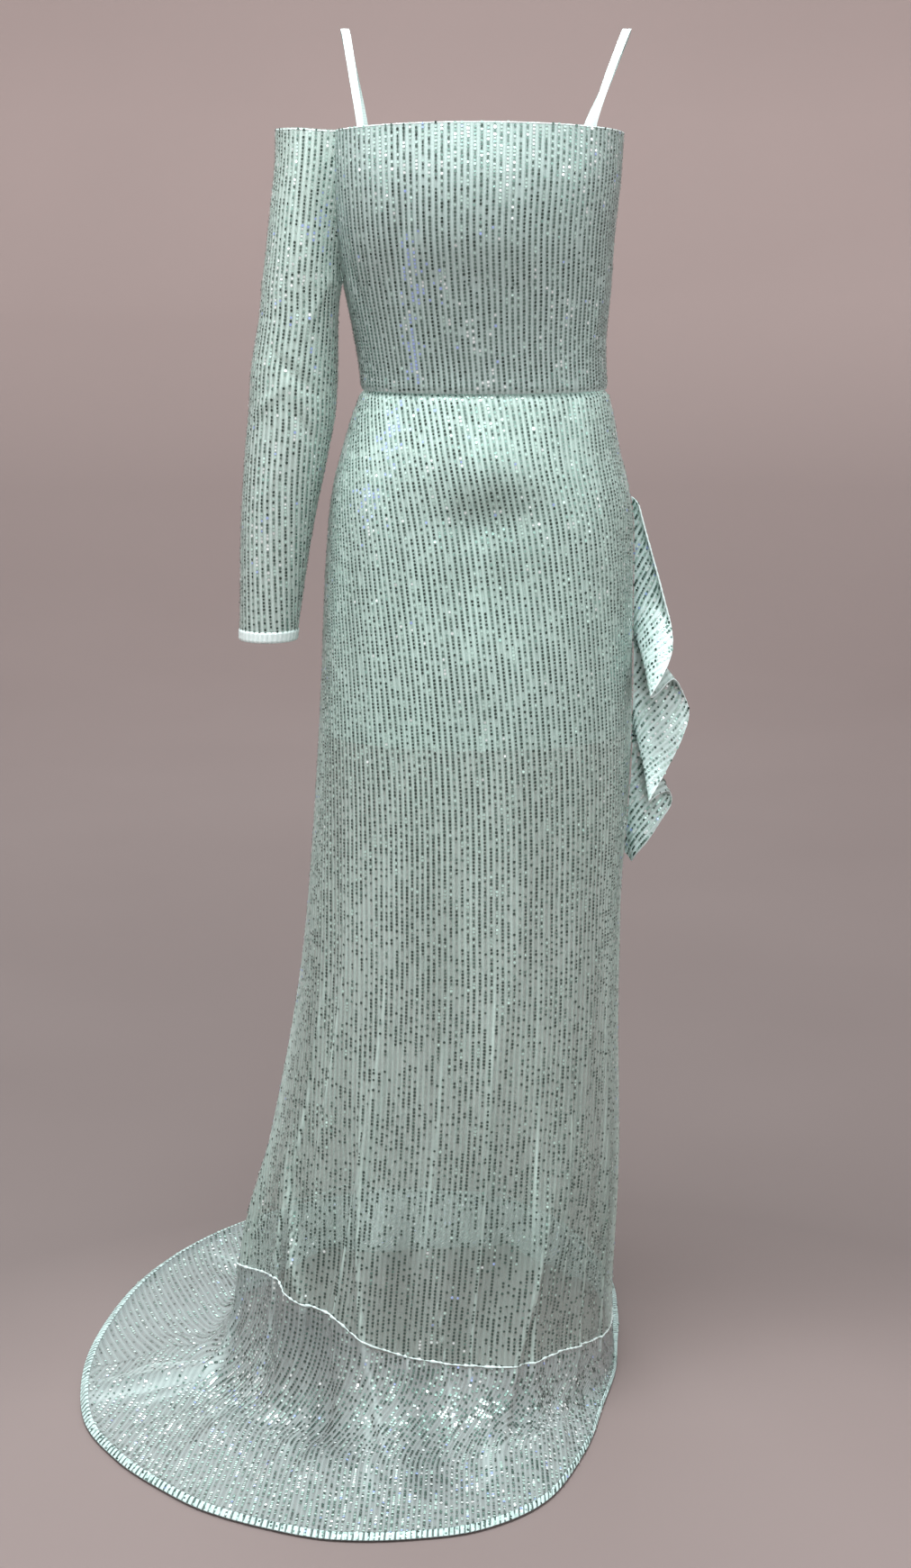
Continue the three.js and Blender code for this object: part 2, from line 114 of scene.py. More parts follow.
# The train on the floor, one row a direction: seam height, hem point, where it first lies flat, fold depth.
TRAIN = table(
    "angle seam hem_x hem_y foot swell",
    (0, 40, 144, 40, 0.5, 0),
    (15, 41, 137, -37, 0.5, 0),
    (30, 50, 120, -118, 0.5, 0),
    (45, 61, 99, -215, 0.42, 3),
    (60, 64, 58, -322, 0.46, 14),
    (75, 65, -3, -380, 0.5, 2),
    (90, 72, -72, -400, 0.48, 3),
    (105, 85, -142, -401, 0.42, 9),
    (114, 104, -192, -385, 0.3, 12),
    (127, 114, -262, -347, 0.26, 3),
    (137, 127, -310, -302, 0.28, 8),
    (150, 125, -360, -240, 0.28, 2),
    (165, 114, -403, -153, 0.3, 3),
    (180, 108, -420, -28, 0.36, 9),
    (195, 104, -412, 95, 0.3, 2),
    (210, 104, -384, 220, 0.28, 7),
    (225, 104, -332, 330, 0.3, 2),
    (243, 102, -255, 420, 0.34, 12),
    (257, 100, -172, 474, 0.3, 2),
    (272, 98, -76, 496, 0.32, 4),
    (290, 92, 34, 462, 0.34, 11),
    (305, 82, 101, 382, 0.36, 2),
    (326, 60, 145, 226, 0.4, 6),
    (344, 44, 149, 120, 0.5, 0),
    (360, 40, 144, 40, 0.5, 0),
)
FLOOR_LIFT = 2.2
TRAIN_START_LEAN = 0.3
SWELL_REACH = 1.15
HEM_ROLL_HEIGHT = 4
HEM_ROLL_WIDTH = 16

# The sleeve, one row a section: x at the outer and inner side, y at front and back.
SLEEVE = table(
    "height outer inner front back",
    (1266, -203, -100, -58, 60),
    (1235, -204, -108, -58, 59),
    (1192, -209, -120, -56, 57),
    (1141, -215, -134, -53, 53),
    (1120, -218, -140.2, -51, 51),
    (1089, -221, -144, -49, 48),
    (1037, -230, -145, -48, 46),
    (994, -233, -148, -47, 44),
    (958, -237, -155, -46, 41),
    (887, -242, -170, -44, 35),
    (815, -244, -182, -41, 28),
    (772, -245, -188, -39, 22),
)
SLEEVE_TOP = 1266
CUFF_HEIGHT = 772
SLEEVE_EDGE_SHARE = 0.25
SLEEVE_OPEN_ANGLE = 78
SLEEVE_SEAM_ANGLE = 0.35

# The straps are sewn inside the bodice at two angles, with these points over the shoulder between them.
STRAP_WIDTH = 8
STRAP_END_HEIGHT = 1256
STRAP_LEAVE_HEIGHT = 1270
STRAP_INSET = 3.1
STRAP_COLUMNS = "at x y height turn"
SLEEVE_SIDE_STRAP = {
    "front": 140,
    "back": 220,
    "end_turn": 42,
    "over": (
        (0.3, -126, -52, 1310, -22),
        (0.45, -133, -25, 1350, -6),
        (0.54, -136, 3, 1358.8, 0),
        (0.63, -135, 30, 1349, 6),
        (0.78, -127, 55, 1308, 22),
    ),
}
CASCADE_SIDE_STRAP = {
    "front": 40,
    "back": 320,
    "end_turn": -42,
    "over": (
        (0.3, 113, -50, 1310, 22),
        (0.45, 129, -25, 1350, 6),
        (0.54, 134, 3, 1358.8, 0),
        (0.63, 132, 30, 1349, -6),
        (0.78, 117, 54, 1308, -22),
    ),
}

# The side cascade, one row a place on its free edge: height on the side seam, then the edge point.
CASCADE = table(
    "seam x y height",
    (912, 151, 2, 906),
    (893, 158, 0, 880),
    (868, 168, -5, 845),
    (840, 177, -11, 812),
    (815, 184, -18, 783),
    (801, 183, -36, 762),
    (790, 173, -52, 741),
    (779, 162, -56, 722),
    (770, 170, -38, 722),
    (762, 187, -8, 731),
    (754, 198, 14, 716),
    (743, 206, 19, 693),
    (725, 199, 8, 669),
    (709, 187, -12, 650),
    (696, 174, -33, 632),
    (684, 163, -43, 614),
    (673, 172, -24, 616),
    (660, 186, 4, 614),
    (645, 189, 11, 600),
    (625, 178, 0, 585),
    (602, 164, -13, 567),
    (576, 152, -9, 551),
    (550, 149, 0, 543),
)
CASCADE_STANDOFF = 1.9
CASCADE_BOW_UP = 6
CASCADE_BOW_OUT = 3
CASCADE_BOW_REACH = 30

# Painted glints: places where more sequins are turned white or blue, as if they catch the light, given as
# shares of the sequins there. Places on the train are a share of the way out, and all others a height.
GLINT_COLUMNS = "angle place wide tall white blue"
BODY_GLINTS = table(
    GLINT_COLUMNS,
    (116, 1134, 4, 34, 0.06, 0.75),
    (121, 1060, 3.5, 42, 0.08, 0.85),
    (131, 982, 6, 24, 0.05, 0.55),
    (136, 913, 6, 30, 0.05, 0.45),
    (30, 1245, 16, 16, 0.14, 0),
    (94, 1066, 2, 13, 0.6, 0),
    (88, 1030, 4, 6, 0.3, 0),
    (102, 985, 8, 14, 0.08, 0.04),
    (60, 1120, 5, 10, 0.12, 0),
    (250, 1150, 12, 30, 0.08, 0.1),
    (285, 900, 10, 30, 0.08, 0.06),
)
TRAIN_GLINTS = table(
    GLINT_COLUMNS,
    (169, 0.55, 3.5, 0.5, 0.45, 0.04),
    (150, 0.35, 12, 0.16, 0.2, 0.04),
    (128, 0.4, 8, 0.16, 0.22, 0.02),
    (100, 0.58, 14, 0.22, 0.16, 0.02),
    (78, 0.6, 10, 0.2, 0.17, 0.02),
    (57, 0.5, 10, 0.2, 0.2, 0.02),
    (224, 0.5, 8, 0.3, 0.2, 0.03),
    (260, 0.5, 10, 0.3, 0.2, 0.03),
    (308, 0.5, 8, 0.3, 0.2, 0.03),
)
SLEEVE_GLINTS = table(
    GLINT_COLUMNS,
    (70, 1180, 14, 24, 0.1, 0.4),
    (112, 1120, 20, 40, 0.16, 0.02),
    (96, 1010, 20, 50, 0.16, 0.02),
    (100, 880, 22, 40, 0.14, 0.02),
    (270, 1080, 24, 60, 0.1, 0.03),
)

# Small creases laid on the cloth. On body panels a row is an angle and a height, on the train
# an angle and a share of the way out. Lean is how far the crease drifts in angle over its reach.
CREASE_COLUMNS = "angle place reach width lean depth"
BODY_CREASES = table(
    CREASE_COLUMNS,
    (121, 1168, 46, 3.6, -4, -2.6),
    (63, 1176, 40, 4.5, 3, -1.4),
    (150, 1120, 34, 4, 6, -1.3),
    (30, 1085, 30, 5, -5, 1.2),
    (104, 1052, 26, 6, 3, -1),
    (90, 900, 25, 19, -2, -7.4),
    (89, 846, 64, 23, 0, -5.4),
    (88, 956, 30, 26, 0, 1.6),
    (66, 930, 30, 7, 5, 1.6),
    (103, 945, 34, 6, -4, -1.6),
    (24, 872, 34, 4, 10, -1.8),
    (35, 842, 40, 4.5, 12, 1.5),
    (88, 640, 150, 4.5, -2, -4.2),
    (97, 520, 110, 3.2, 3, 2.2),
    (58, 590, 130, 4, 3, -2.6),
    (121, 600, 150, 4.5, -3, -2.2),
    (74, 420, 120, 3.4, -4, 2.8),
    (142, 470, 140, 5, 4, -2.8),
    (84, 250, 80, 3, 4, -2.6),
    (42, 330, 120, 3, -4, 2.4),
    (32, 240, 90, 2.6, -5, -2.8),
    (148, 230, 90, 3.4, 3, 3),
    (122, 210, 80, 2.8, 2, -2.4),
    (170, 330, 130, 5, -3, -2.6),
    (228, 1170, 44, 5, 4, -1.6),
    (305, 1160, 40, 5, -4, -1.6),
    (262, 1075, 34, 7, 3, -1.4),
    (276, 960, 44, 8, 3, -2.8),
    (240, 900, 60, 6, -5, 1.8),
    (306, 890, 56, 6, 5, 1.6),
    (268, 640, 150, 5, 2, -4),
    (231, 560, 140, 4.5, -3, 2.4),
    (303, 520, 150, 4.5, 3, -2.8),
    (219, 380, 120, 4, 3, -2.8),
    (264, 330, 110, 3.6, -3, 2.8),
    (345, 420, 140, 4.5, -3, -2.4),
    (312, 250, 90, 3, 3, 2.6),
)
TRAIN_CREASES = table(
    CREASE_COLUMNS,
    (38, 0.5, 0.4, 2.4, 1, -2.6),
    (51, 0.55, 0.3, 1.6, 2, 2.8),
    (69, 0.5, 0.34, 1.5, -2, 3),
    (79, 0.4, 0.26, 1.8, 2, -2.4),
    (87, 0.62, 0.22, 1.4, 1, 2.4),
    (98, 0.45, 0.3, 1.5, -2, -2.6),
    (109, 0.66, 0.24, 1.3, 2, 2.8),
    (118, 0.42, 0.3, 1.6, 2, -2.8),
    (123, 0.6, 0.22, 1.3, -1, 2.4),
    (132, 0.36, 0.3, 1.7, 2, -3),
    (143, 0.5, 0.3, 1.8, -2, 2.8),
    (156, 0.62, 0.24, 1.6, 3, -2.2),
    (160, 0.4, 0.3, 1.1, 5, 3.2),
    (164.5, 0.52, 0.36, 0.9, 5, -3.6),
    (168.5, 0.6, 0.36, 1.0, 5, 4),
    (173, 0.66, 0.3, 1.1, 4, -3.4),
    (188, 0.5, 0.3, 1.8, 2, -2.6),
    (202, 0.42, 0.3, 1.6, -2, 2.8),
    (218, 0.58, 0.26, 1.6, 2, -2.6),
    (234, 0.45, 0.3, 1.6, -2, 2.6),
    (250, 0.6, 0.26, 1.7, 2, -2.8),
    (265, 0.45, 0.3, 1.8, 2, 3),
    (281, 0.5, 0.28, 1.6, -2, -2.6),
    (298, 0.55, 0.3, 1.7, 2, 2.8),
    (316, 0.45, 0.3, 2, -2, -2.6),
    (335, 0.5, 0.3, 2.2, 1, 2),
)
SLEEVE_CREASES = table(
    CREASE_COLUMNS,
    (100, 1180, 30, 9, 14, -1.6),
    (62, 1100, 26, 8, -16, 1.8),
    (88, 1035, 18, 11, 26, -2.2),
    (120, 1010, 18, 10, -24, 1.8),
    (70, 985, 20, 9, 22, -1.8),
    (104, 930, 30, 8, -12, 1.4),
    (80, 850, 34, 8, 10, -1.4),
    (250, 1170, 34, 10, 12, -1.8),
    (282, 1050, 20, 10, -22, 1.9),
    (250, 1000, 22, 10, 22, -2),
    (268, 880, 36, 9, -10, 1.5),
)
EDGE_SHARE = 0.06

# Pressed fold edges, which run from the skirt over the seam into the train. Angles are at the fold's top,
# at the seam and half way out, side is the way that its steep face looks, and reach ends it on the train.
FOLD_EDGES = table(
    "angle_top angle_seam angle_out top side spread depth reach",
    (125, 108.2, 97, 400, 1, 9, 9, 0.8),
    (51, 65, 70, 300, -1, 8, 9, 0.85),
    (154, 127.5, 134, 290, -1, 9, 8, 0.5),
    (38, 40.5, 47, 330, -1, 6, 5, 0.5),
    (92, 84, 80, 190, 1, 5, 3.5, 0.6),
    (167, 162, 171, 300, 1, 7, 10, 3),
    (146, 142, 146, 560, -1, 4, 3, 0.3),
    (136, 134, 138, 640, 1, 3.4, 2.4, 0.3),
    (116, 118, 112, 610, 1, 4, 2.6, 0.4),
    (79, 77, 76, 660, -1, 5, 3.4, 0.4),
    (94, 95, 93, 560, 1, 4, 2.8, 0.4),
    (63, 60, 58, 600, 1, 4, 2.6, 0.4),
    (46, 50, 52, 620, -1, 3.6, 2.8, 0.4),
    (28, 27, 26, 540, 1, 4, 2.6, 0.3),
    (214, 220, 224, 360, -1, 9, 9, 0.8),
    (252, 248, 244, 420, 1, 9, 9, 0.8),
    (283, 289, 292, 340, -1, 8, 8, 0.7),
    (322, 316, 312, 380, 1, 8, 7, 0.6),
)
STEEP_SHARE = 0.14
LAP_SHARE = 0.09
FOLD_OUT_LIMIT = 1.4
FOLD_GROWTH = 1.2
SEAM_TURN_REACH = 0.25

# Painted shade beside the train's folds: angle, its drift on the way out, half width, start and end.
TRAIN_SHADES = (
    (126, -26, 11, 0.02, 0.62),
    (93, -10, 6, 0.05, 0.8),
    (66, 4, 8, 0.1, 0.45),
)
SHADE_END = 0.2

# Crumpled ridges of the train, where doubled cloth looks paler: angles at the seam and at the hem.
TRAIN_RIDGES = table(
    "angle_in angle_out start end wide strength",
    (161, 170, 0.1, 1.0, 1.5, 0.7),
    (158, 165, 0.15, 0.8, 0.7, 0.6),
    (165, 175, 0.2, 1.0, 0.8, 0.7),
    (128, 118, 0.0, 0.6, 1.6, 0.55),
    (108, 97, 0.0, 0.75, 1.2, 0.5),
    (72, 74, 0.0, 0.7, 1.3, 0.5),
    (143, 150, 0.1, 0.6, 1.6, 0.4),
    (222, 224, 0.1, 0.9, 1.8, 0.5),
    (262, 258, 0.1, 0.8, 1.8, 0.5),
    (304, 308, 0.1, 0.8, 1.8, 0.4),
)
RIDGE_END = 0.12
RIDGE_LEAD = 0.2

# Sequin lines and sequins.
SLANT_REACH = 420
TRAIN_LINES_TURN = 0.5
TRAIN_LINES_STRAIGHT = 0.55
TRAIN_LINES_WIDTH = 700
SEQUIN_RADIUS = 1.3
SEQUIN_SIDES = 6
SEQUIN_SIZE_SPREAD = 0.16
SEQUIN_PITCH = 3.4
SEQUIN_LIFT = 0.7
SEQUIN_TILT = 0.075
SEQUIN_RUN = 6
RUN_SHARE = 0.5
SEQUIN_EDGE = 0.002
# Share of the leftover sequins given the painted blue glint; the others get the painted white glint.
PAINTED_BLUE_GLINT_SHARE = 0.15

# Walls, bands and edges.
CLOTH_THICKNESS = 0.8
LINING_THICKNESS = 0.9
BAND_THICKNESS = 0.6
BAND_GAP = 0.15
BAND_SEED = 3
STRAP_THICKNESS = 1.3
STRAP_GRID = (8, 150)
STRAP_WEFTS = 110
LINING_GRID = (90, 60)
LINING_STITCHES = (130, 110)
CUFF_WIDTH = 11
HEM_WIDTH = 8.5
ROLL_SIDES = 6
ROLL_KNOTS = 7
SMOOTH_ANGLE = math.radians(60)

# The waist seam pulls both panels' edges in: share of the panel's length and depth, by the edge's place.
WAIST_TURNS = {1: (0.02, 1.2), 0: (0.0075, 4.0)}


def read(rows, key, column, place):
    """One column of a table at each place, along a smooth line through the rows."""
    keys, values = rows[key], rows[column]
    if keys[-1] < keys[0]:
        keys, values = keys[::-1], values[::-1]
    last = len(keys) - 1
    index = np.arange(last + 1)
    before = np.maximum(index - 1, 0)
    after = np.minimum(index + 1, last)
    slope = (values[after] - values[before]) / (keys[after] - keys[before])
    held = np.clip(place, keys[0], keys[-1])
    low = np.clip(np.searchsorted(keys, held) - 1, 0, last - 1)
    span = keys[low + 1] - keys[low]
    share = (held - keys[low]) / span
    square = share * share
    cube = square * share
    return (
        values[low] * (2 * cube - 3 * square + 1)
        + slope[low] * span * (cube - 2 * square + share)
        + values[low + 1] * (3 * square - 2 * cube)
        + slope[low + 1] * span * (cube - square)
    )


def section(rows, place):
    """Every column of a table but its first, at each place."""
    key, *columns = rows
    return [read(rows, key, column, place) for column in columns]


def mix(start, end, share):
    return start + (end - start) * share


def smooth(value):
    held = np.clip(value, 0, 1)
    return held * held * (3 - 2 * held)


def bell(*offsets):
    """One in the middle of a patch, fading to nothing round it. Offsets are in half widths."""
    return np.exp(-sum(offset**2 for offset in offsets))


def shortest_turn(angle):
    return (angle + HALF_TURN) % FULL_TURN - HALF_TURN


def points(x, y, z):
    return np.stack(np.broadcast_arrays(x, y, z), axis=-1).astype(float)


def fold_depth(angle, height):
    """How far the skirt's long folds stand out, growing towards its foot."""
    depth = 0
    for high, low, top, spread, most in zip(*SKIRT_FOLDS.values()):
        growth = smooth((top - height) / (top - FOLD_LOW_HEIGHT))
        away = shortest_turn(angle - mix(high, low, growth)) / spread
        depth = depth + most * growth * bell(away)
    return depth


def body(angle, height):
    """Points of the worn form at angles round the body and heights over the floor."""
    sleeve_side, cascade_side, front, back = section(BODY, height)
    across = np.cos(np.radians(angle))
    forward = np.sin(np.radians(angle))
    square = 1 + RING_SQUARENESS * (2 * across * forward) ** 2
    fold = fold_depth(angle, height)
    return points(
        (sleeve_side + cascade_side) / 2 + ((cascade_side - sleeve_side) / 2 * square + fold) * across,
        (front + back) / 2 - ((back - front) / 2 * square + fold) * forward,
        height - SHOULDER_HEIGHT,
    )


def outward(surface, across, down):
    """Unit normals of a surface, away from the body where its second share runs down."""
    sideways = surface(across + SLOPE_STEP, down) - surface(across - SLOPE_STEP, down)
    lengthways = surface(across, down + SLOPE_STEP) - surface(across, down - SLOPE_STEP)
    normal = np.cross(sideways, lengthways)
    return normal / np.linalg.norm(normal, axis=-1, keepdims=True)


def neckline_height(angle):
    return mix(NECKLINE_SIDE, NECKLINE_FRONT, np.abs(np.sin(np.radians(angle))) ** NECKLINE_DIP_POWER)


def armhole_angle(height):
    rise = (height - UNDERARM_HEIGHT) / (NECKLINE_ROW - UNDERARM_HEIGHT)
    return SEAM_ANGLE_GAP + ARMHOLE_HALF_ANGLE * np.maximum(rise, 0) ** ARMHOLE_ROUNDNESS


def bodice_place(across, down, back):
    """The angle and height of a bodice point."""
    row = mix(NECKLINE_ROW, WAIST_HEIGHT, down)
    if back:
        angle = mix(HALF_TURN + armhole_angle(row), FULL_TURN - SEAM_ANGLE_GAP, across)
    else:
        angle = mix(SEAM_ANGLE_GAP, HALF_TURN - armhole_angle(row), across)
    return angle, mix(neckline_height(angle), WAIST_HEIGHT + SEAM_GAP / 2, down)


def bodice(across, down, back):
    return body(*bodice_place(across, down, back))


def train_seam(angle):
    return read(TRAIN, "angle", "seam", angle)


def half_angle(across, back):
    """The angle round the body of a place across the front or the back."""
    start = HALF_TURN if back else 0
    return mix(start + SEAM_ANGLE_GAP, start + HALF_TURN - SEAM_ANGLE_GAP, across)


def skirt_place(across, down, back):
    """The angle and height of a skirt point."""
    angle = half_angle(across, back)
    return angle, mix(WAIST_HEIGHT - SEAM_GAP / 2, train_seam(angle) + SEAM_GAP / 2, down)


def train_place(across, out, back):
    """The angle of a point on the train, and its share of the way out."""
    return half_angle(across, back), out


def lining_place(across, down, back):
    """The angle and height of a lining point."""
    return half_angle(across, back), mix(LINING_TOP, LINING_HEM, down)


def train(angle, out):
    """The train falls from its seam, bends to the floor and runs flat to its rolled hem."""
    seam, hem_x, hem_y, foot, swell = section(TRAIN, angle)
    top = body(angle, seam - SEAM_GAP / 2)
    reach = np.hypot(hem_x - top[..., 0], hem_y - top[..., 1])
    rise = top[..., 2] + SHOULDER_HEIGHT - FLOOR_LIFT
    curve = np.hypot(rise, reach * foot)
    bend = curve / (curve + reach * (1 - foot))
    falling = out / bend
    gone = np.where(
        out < bend,
        foot * falling * mix(TRAIN_START_LEAN, 1, falling),
        mix(foot, 1, (out - bend) / (1 - bend)),
    )
    up = FLOOR_LIFT + np.where(out < bend, rise * (1 - falling) ** 2, 0)
    from_crown = ((1 - gone) * reach - HEM_ROLL_WIDTH / 2) / (HEM_ROLL_WIDTH / 3)
    roll = np.minimum(HEM_ROLL_HEIGHT, reach / 10) * gone * bell(from_crown)
    ripple = swell * np.sin(np.pi * np.minimum(gone * SWELL_REACH, 1)) ** 2
    return points(
        mix(top[..., 0], hem_x, gone),
        mix(top[..., 1], hem_y, gone),
        up + roll + ripple - SHOULDER_HEIGHT,
    )


def sleeve_angle(around, height):
    """The angle round the arm, how far the sleeve is open there, and how high over the underarm."""
    rise = np.maximum((height - UNDERARM_HEIGHT) / (SLEEVE_TOP - UNDERARM_HEIGHT), 0)
    opening = SLEEVE_SEAM_ANGLE + SLEEVE_OPEN_ANGLE * rise**ARMHOLE_ROUNDNESS
    return mix(opening, FULL_TURN - opening, around), opening, rise


def sleeve_place(around, down):
    height = mix(SLEEVE_TOP, CUFF_HEIGHT, down)
    return sleeve_angle(around, height)[0], height


def sleeve(around, down):
    """The sleeve is one piece wrapped round the arm. Over the underarm its edges follow the armhole."""
    height = mix(SLEEVE_TOP, CUFF_HEIGHT, down)
    outer, inner, front, back = section(SLEEVE, height)
    angle, opening, rise = sleeve_angle(around, height)

    def ring(place):
        return points(
            (outer + inner) / 2 + (inner - outer) / 2 * np.cos(np.radians(place)),
            (front + back) / 2 - (back - front) / 2 * np.sin(np.radians(place)),
            height - SHOULDER_HEIGHT,
        )

    bodice_down = (NECKLINE_ROW - height) / (NECKLINE_ROW - WAIST_HEIGHT)
    gap = np.array([SEAM_GAP, 0, 0])
    near_front = np.where(rise > 0, 1 - smooth(around / SLEEVE_EDGE_SHARE), 0)[..., None]
    near_back = np.where(rise > 0, 1 - smooth((1 - around) / SLEEVE_EDGE_SHARE), 0)[..., None]
    front_seam = bodice(np.ones_like(height), bodice_down, False) - gap - ring(opening)
    back_seam = bodice(np.zeros_like(height), bodice_down, True) - gap - ring(FULL_TURN - opening)
    return ring(angle) + front_seam * near_front + back_seam * near_back


def strap_rows(strap):
    """The strap's rows with its two sewn ends, each a little inside the bodice wall."""
    ends = []
    for at, angle, height, turn in (
        (0, strap["front"], STRAP_END_HEIGHT, -strap["end_turn"]),
        (0.1, strap["front"], STRAP_LEAVE_HEIGHT, -strap["end_turn"]),
        (0.92, strap["back"], STRAP_LEAVE_HEIGHT, strap["end_turn"]),
        (1, strap["back"], STRAP_END_HEIGHT, strap["end_turn"]),
    ):
        place = np.array(float(angle)), np.array(float(height))
        point = body(*place) + outward(body, *place) * STRAP_INSET
        ends.append((at, point[0], point[1], height, turn))
    return table(STRAP_COLUMNS, *ends[:2], *strap["over"], *ends[2:])


def strap_surface(rows):
    def surface(across, along):
        x, y, height, turn = section(rows, along)
        turn = np.radians(turn)
        offset = (across - 0.5) * STRAP_WIDTH
        return points(x + offset * np.cos(turn), y + offset * np.sin(turn), height - SHOULDER_HEIGHT)

    return surface


def cascade(across, down):
    height = mix(CASCADE["seam"][0], CASCADE["seam"][-1], down)
    seam = body(np.zeros_like(height), height)
    seam[..., 0] += CASCADE_STANDOFF
    edge_x, edge_y, edge_height = section(CASCADE, height)
    edge = points(edge_x, edge_y, edge_height - SHOULDER_HEIGHT)
    bow = np.sin(np.pi * across) * smooth((edge[..., 0] - seam[..., 0]) / CASCADE_BOW_REACH)
    point = seam + (edge - seam) * np.asarray(across)[..., None]
    point[..., 0] += CASCADE_BOW_OUT * bow
    point[..., 2] += CASCADE_BOW_UP * bow
    return point


def lining(place_of):
    """The lining follows the body a little inside the cloth, closer at its top."""

    def plain(angle, down):
        return body(angle, mix(LINING_TOP, LINING_HEM, down))

    def surface(across, down):
        angle, _ = place_of(across, down)
        eased = smooth(down * (LINING_TOP - LINING_HEM) / LINING_EASE_LENGTH)
        inset = mix(LINING_TOP_INSET, LINING_INSET, eased)
        return plain(angle, down) - outward(plain, angle, down) * inset[..., None]

    return surface


def crease_depth(rows, angle, place):
    """How far a table's creases stand out, or sink in where a depth is negative."""
    depth = 0
    for centre, middle, reach, width, lean, most in zip(*rows.values()):
        along = (place - middle) / reach
        away = shortest_turn(angle - centre - lean * along) / width
        depth = depth + most * bell(along, away)
    return depth


def fold_edges(angle, height, out):
    """How far pressed folds stand out, and how close each place is to one's edge, from 0 to 1."""
    seam = train_seam(angle)
    depth, lap = 0, 0
    for top_angle, seam_angle, out_angle, top, side, spread, most, reach in zip(*FOLD_EDGES.values()):
        fallen = np.clip((top - height) / (top - seam), 0, 1)
        centre = mix(mix(top_angle, seam_angle, fallen), out_angle, np.clip(out * 2, 0, FOLD_OUT_LIMIT))
        away = shortest_turn(angle - centre) * side / spread
        growth = smooth(fallen * FOLD_GROWTH) * (1 - smooth(out / reach)) * smooth((1 - out) / EDGE_SHARE)
        steep = np.where(away > 0, STEEP_SHARE, 1)
        depth = depth + most * growth * bell(away / steep)
        lap = lap + growth * bell(away / LAP_SHARE)
    return depth, np.minimum(lap, 1)


def train_shade(angle, out):
    """How much painted shade a place beside the train's folds gets, from 0 to 1."""
    dark = 0
    for centre, drift, wide, top, foot in TRAIN_SHADES:
        away = (angle - centre - drift * out) / wide
        dark = dark + bell(away) * smooth(out / top) * smooth((foot - out) / SHADE_END)
    return np.minimum(dark, 1)


def ridge_cover(angle, out):
    """How much a place on the train lies on a crumpled ridge, from 0 to 1."""
    cover = 0
    for angle_in, angle_out, start, end, wide, strength in zip(*TRAIN_RIDGES.values()):
        away = shortest_turn(angle - mix(angle_in, angle_out, out)) / wide
        shown = smooth((out - start) / RIDGE_END + RIDGE_LEAD) * smooth((end - out) / RIDGE_END + RIDGE_LEAD)
        cover = cover + strength * shown * bell(away)
    return np.minimum(cover, 1)


def side_window(across):
    """One inside a panel, and nothing along its two sides."""
    return smooth(across / EDGE_SHARE) * smooth((1 - across) / EDGE_SHARE)


def edge_window(across, down):
    """One inside a panel, and nothing along its edges, so that creases never open a seam."""
    return side_window(across) * side_window(down)


def matched(across, down):
    """Both shares as arrays of one shape."""
    return np.broadcast_arrays(np.asarray(across, float), np.asarray(down, float))


def creased(surface, rows, place_of):
    """A surface with a table's creases pressed into it along its normals."""

    def dressed(across, down):
        across, down = matched(across, down)
        depth = crease_depth(rows, *place_of(across, down)) * edge_window(across, down)
        return surface(across, down) + outward(surface, across, down) * depth[..., None]

    return dressed


def folded_skirt(surface, place_of):
    """A skirt panel with its creases and the pressed folds that go on into the train."""
    dressed = creased(surface, BODY_CREASES, place_of)

    def folded(across, down):
        across, down = matched(across, down)
        angle, height = place_of(across, down)
        depth = fold_edges(angle, height, 0.0)[0] * side_window(across)
        return dressed(across, down) - outward(body, angle, height) * depth[..., None]

    return folded


def folded_train(surface, place_of):
    """A train panel with its creases and the ends of the pressed folds, which turn with the cloth."""
    dressed = creased(surface, TRAIN_CREASES, place_of)

    def folded(across, down):
        across, down = matched(across, down)
        angle, out = place_of(across, down)
        seam = train_seam(angle)
        depth = fold_edges(angle, seam, out)[0] * side_window(across)
        leaving = smooth(out / SEAM_TURN_REACH)[..., None]
        direction = mix(-outward(body, angle, seam), outward(surface, across, out), leaving)
        return dressed(across, out) + direction * depth[..., None]

    return folded


def turned_in(surface, waist_down):
    """A panel whose edge at the waist seam turns in a little."""

    def turned(across, down):
        across, down = matched(across, down)
        share, depth = WAIST_TURNS[waist_down]
        near = 1 - smooth(np.abs(down - waist_down) / share)
        return surface(across, down) - outward(surface, across, down) * (depth * near)[..., None]

    return turned


def laid(form, place_of):
    """A form's surface, read at a panel's own shares across and down."""
    return lambda across, down: form(*place_of(across, down))


def bodice_surface(place_of):
    return turned_in(creased(laid(body, place_of), BODY_CREASES, place_of), 1)


def skirt_surface(place_of):
    return turned_in(folded_skirt(laid(body, place_of), place_of), 0)


def train_surface(place_of):
    return folded_train(laid(train, place_of), place_of)


def lining_surface(place_of):
    return creased(lining(place_of), BODY_CREASES, place_of)


# A part that has a front and a back: its places on the form and its dressed surface.
HALVED_PARTS = {
    "bodice": (bodice_place, bodice_surface),
    "skirt": (skirt_place, skirt_surface),
    "train": (train_place, train_surface),
    "lining": (lining_place, lining_surface),
}
PLACES = {"sleeve": sleeve_place}
SURFACES = {"sleeve": creased(sleeve, SLEEVE_CREASES, sleeve_place), "side_cascade": cascade}
for half, is_back in (("front", False), ("back", True)):
    for part, (part_place, part_surface) in HALVED_PARTS.items():
        PLACES[f"{part}_{half}"] = partial(part_place, back=is_back)
        SURFACES[f"{part}_{half}"] = part_surface(PLACES[f"{part}_{half}"])


def ring_length(angle):
    """The distance round the neckline from the cascade side to an angle."""
    angles = np.linspace(0, FULL_TURN, FULL_TURN + 1)
    ring = body(angles, np.full(len(angles), float(NECKLINE_ROW)))
    gone = np.concatenate([[0], np.cumsum(np.linalg.norm(np.diff(ring, axis=0), axis=1))])
    return np.interp(angle, angles, gone)


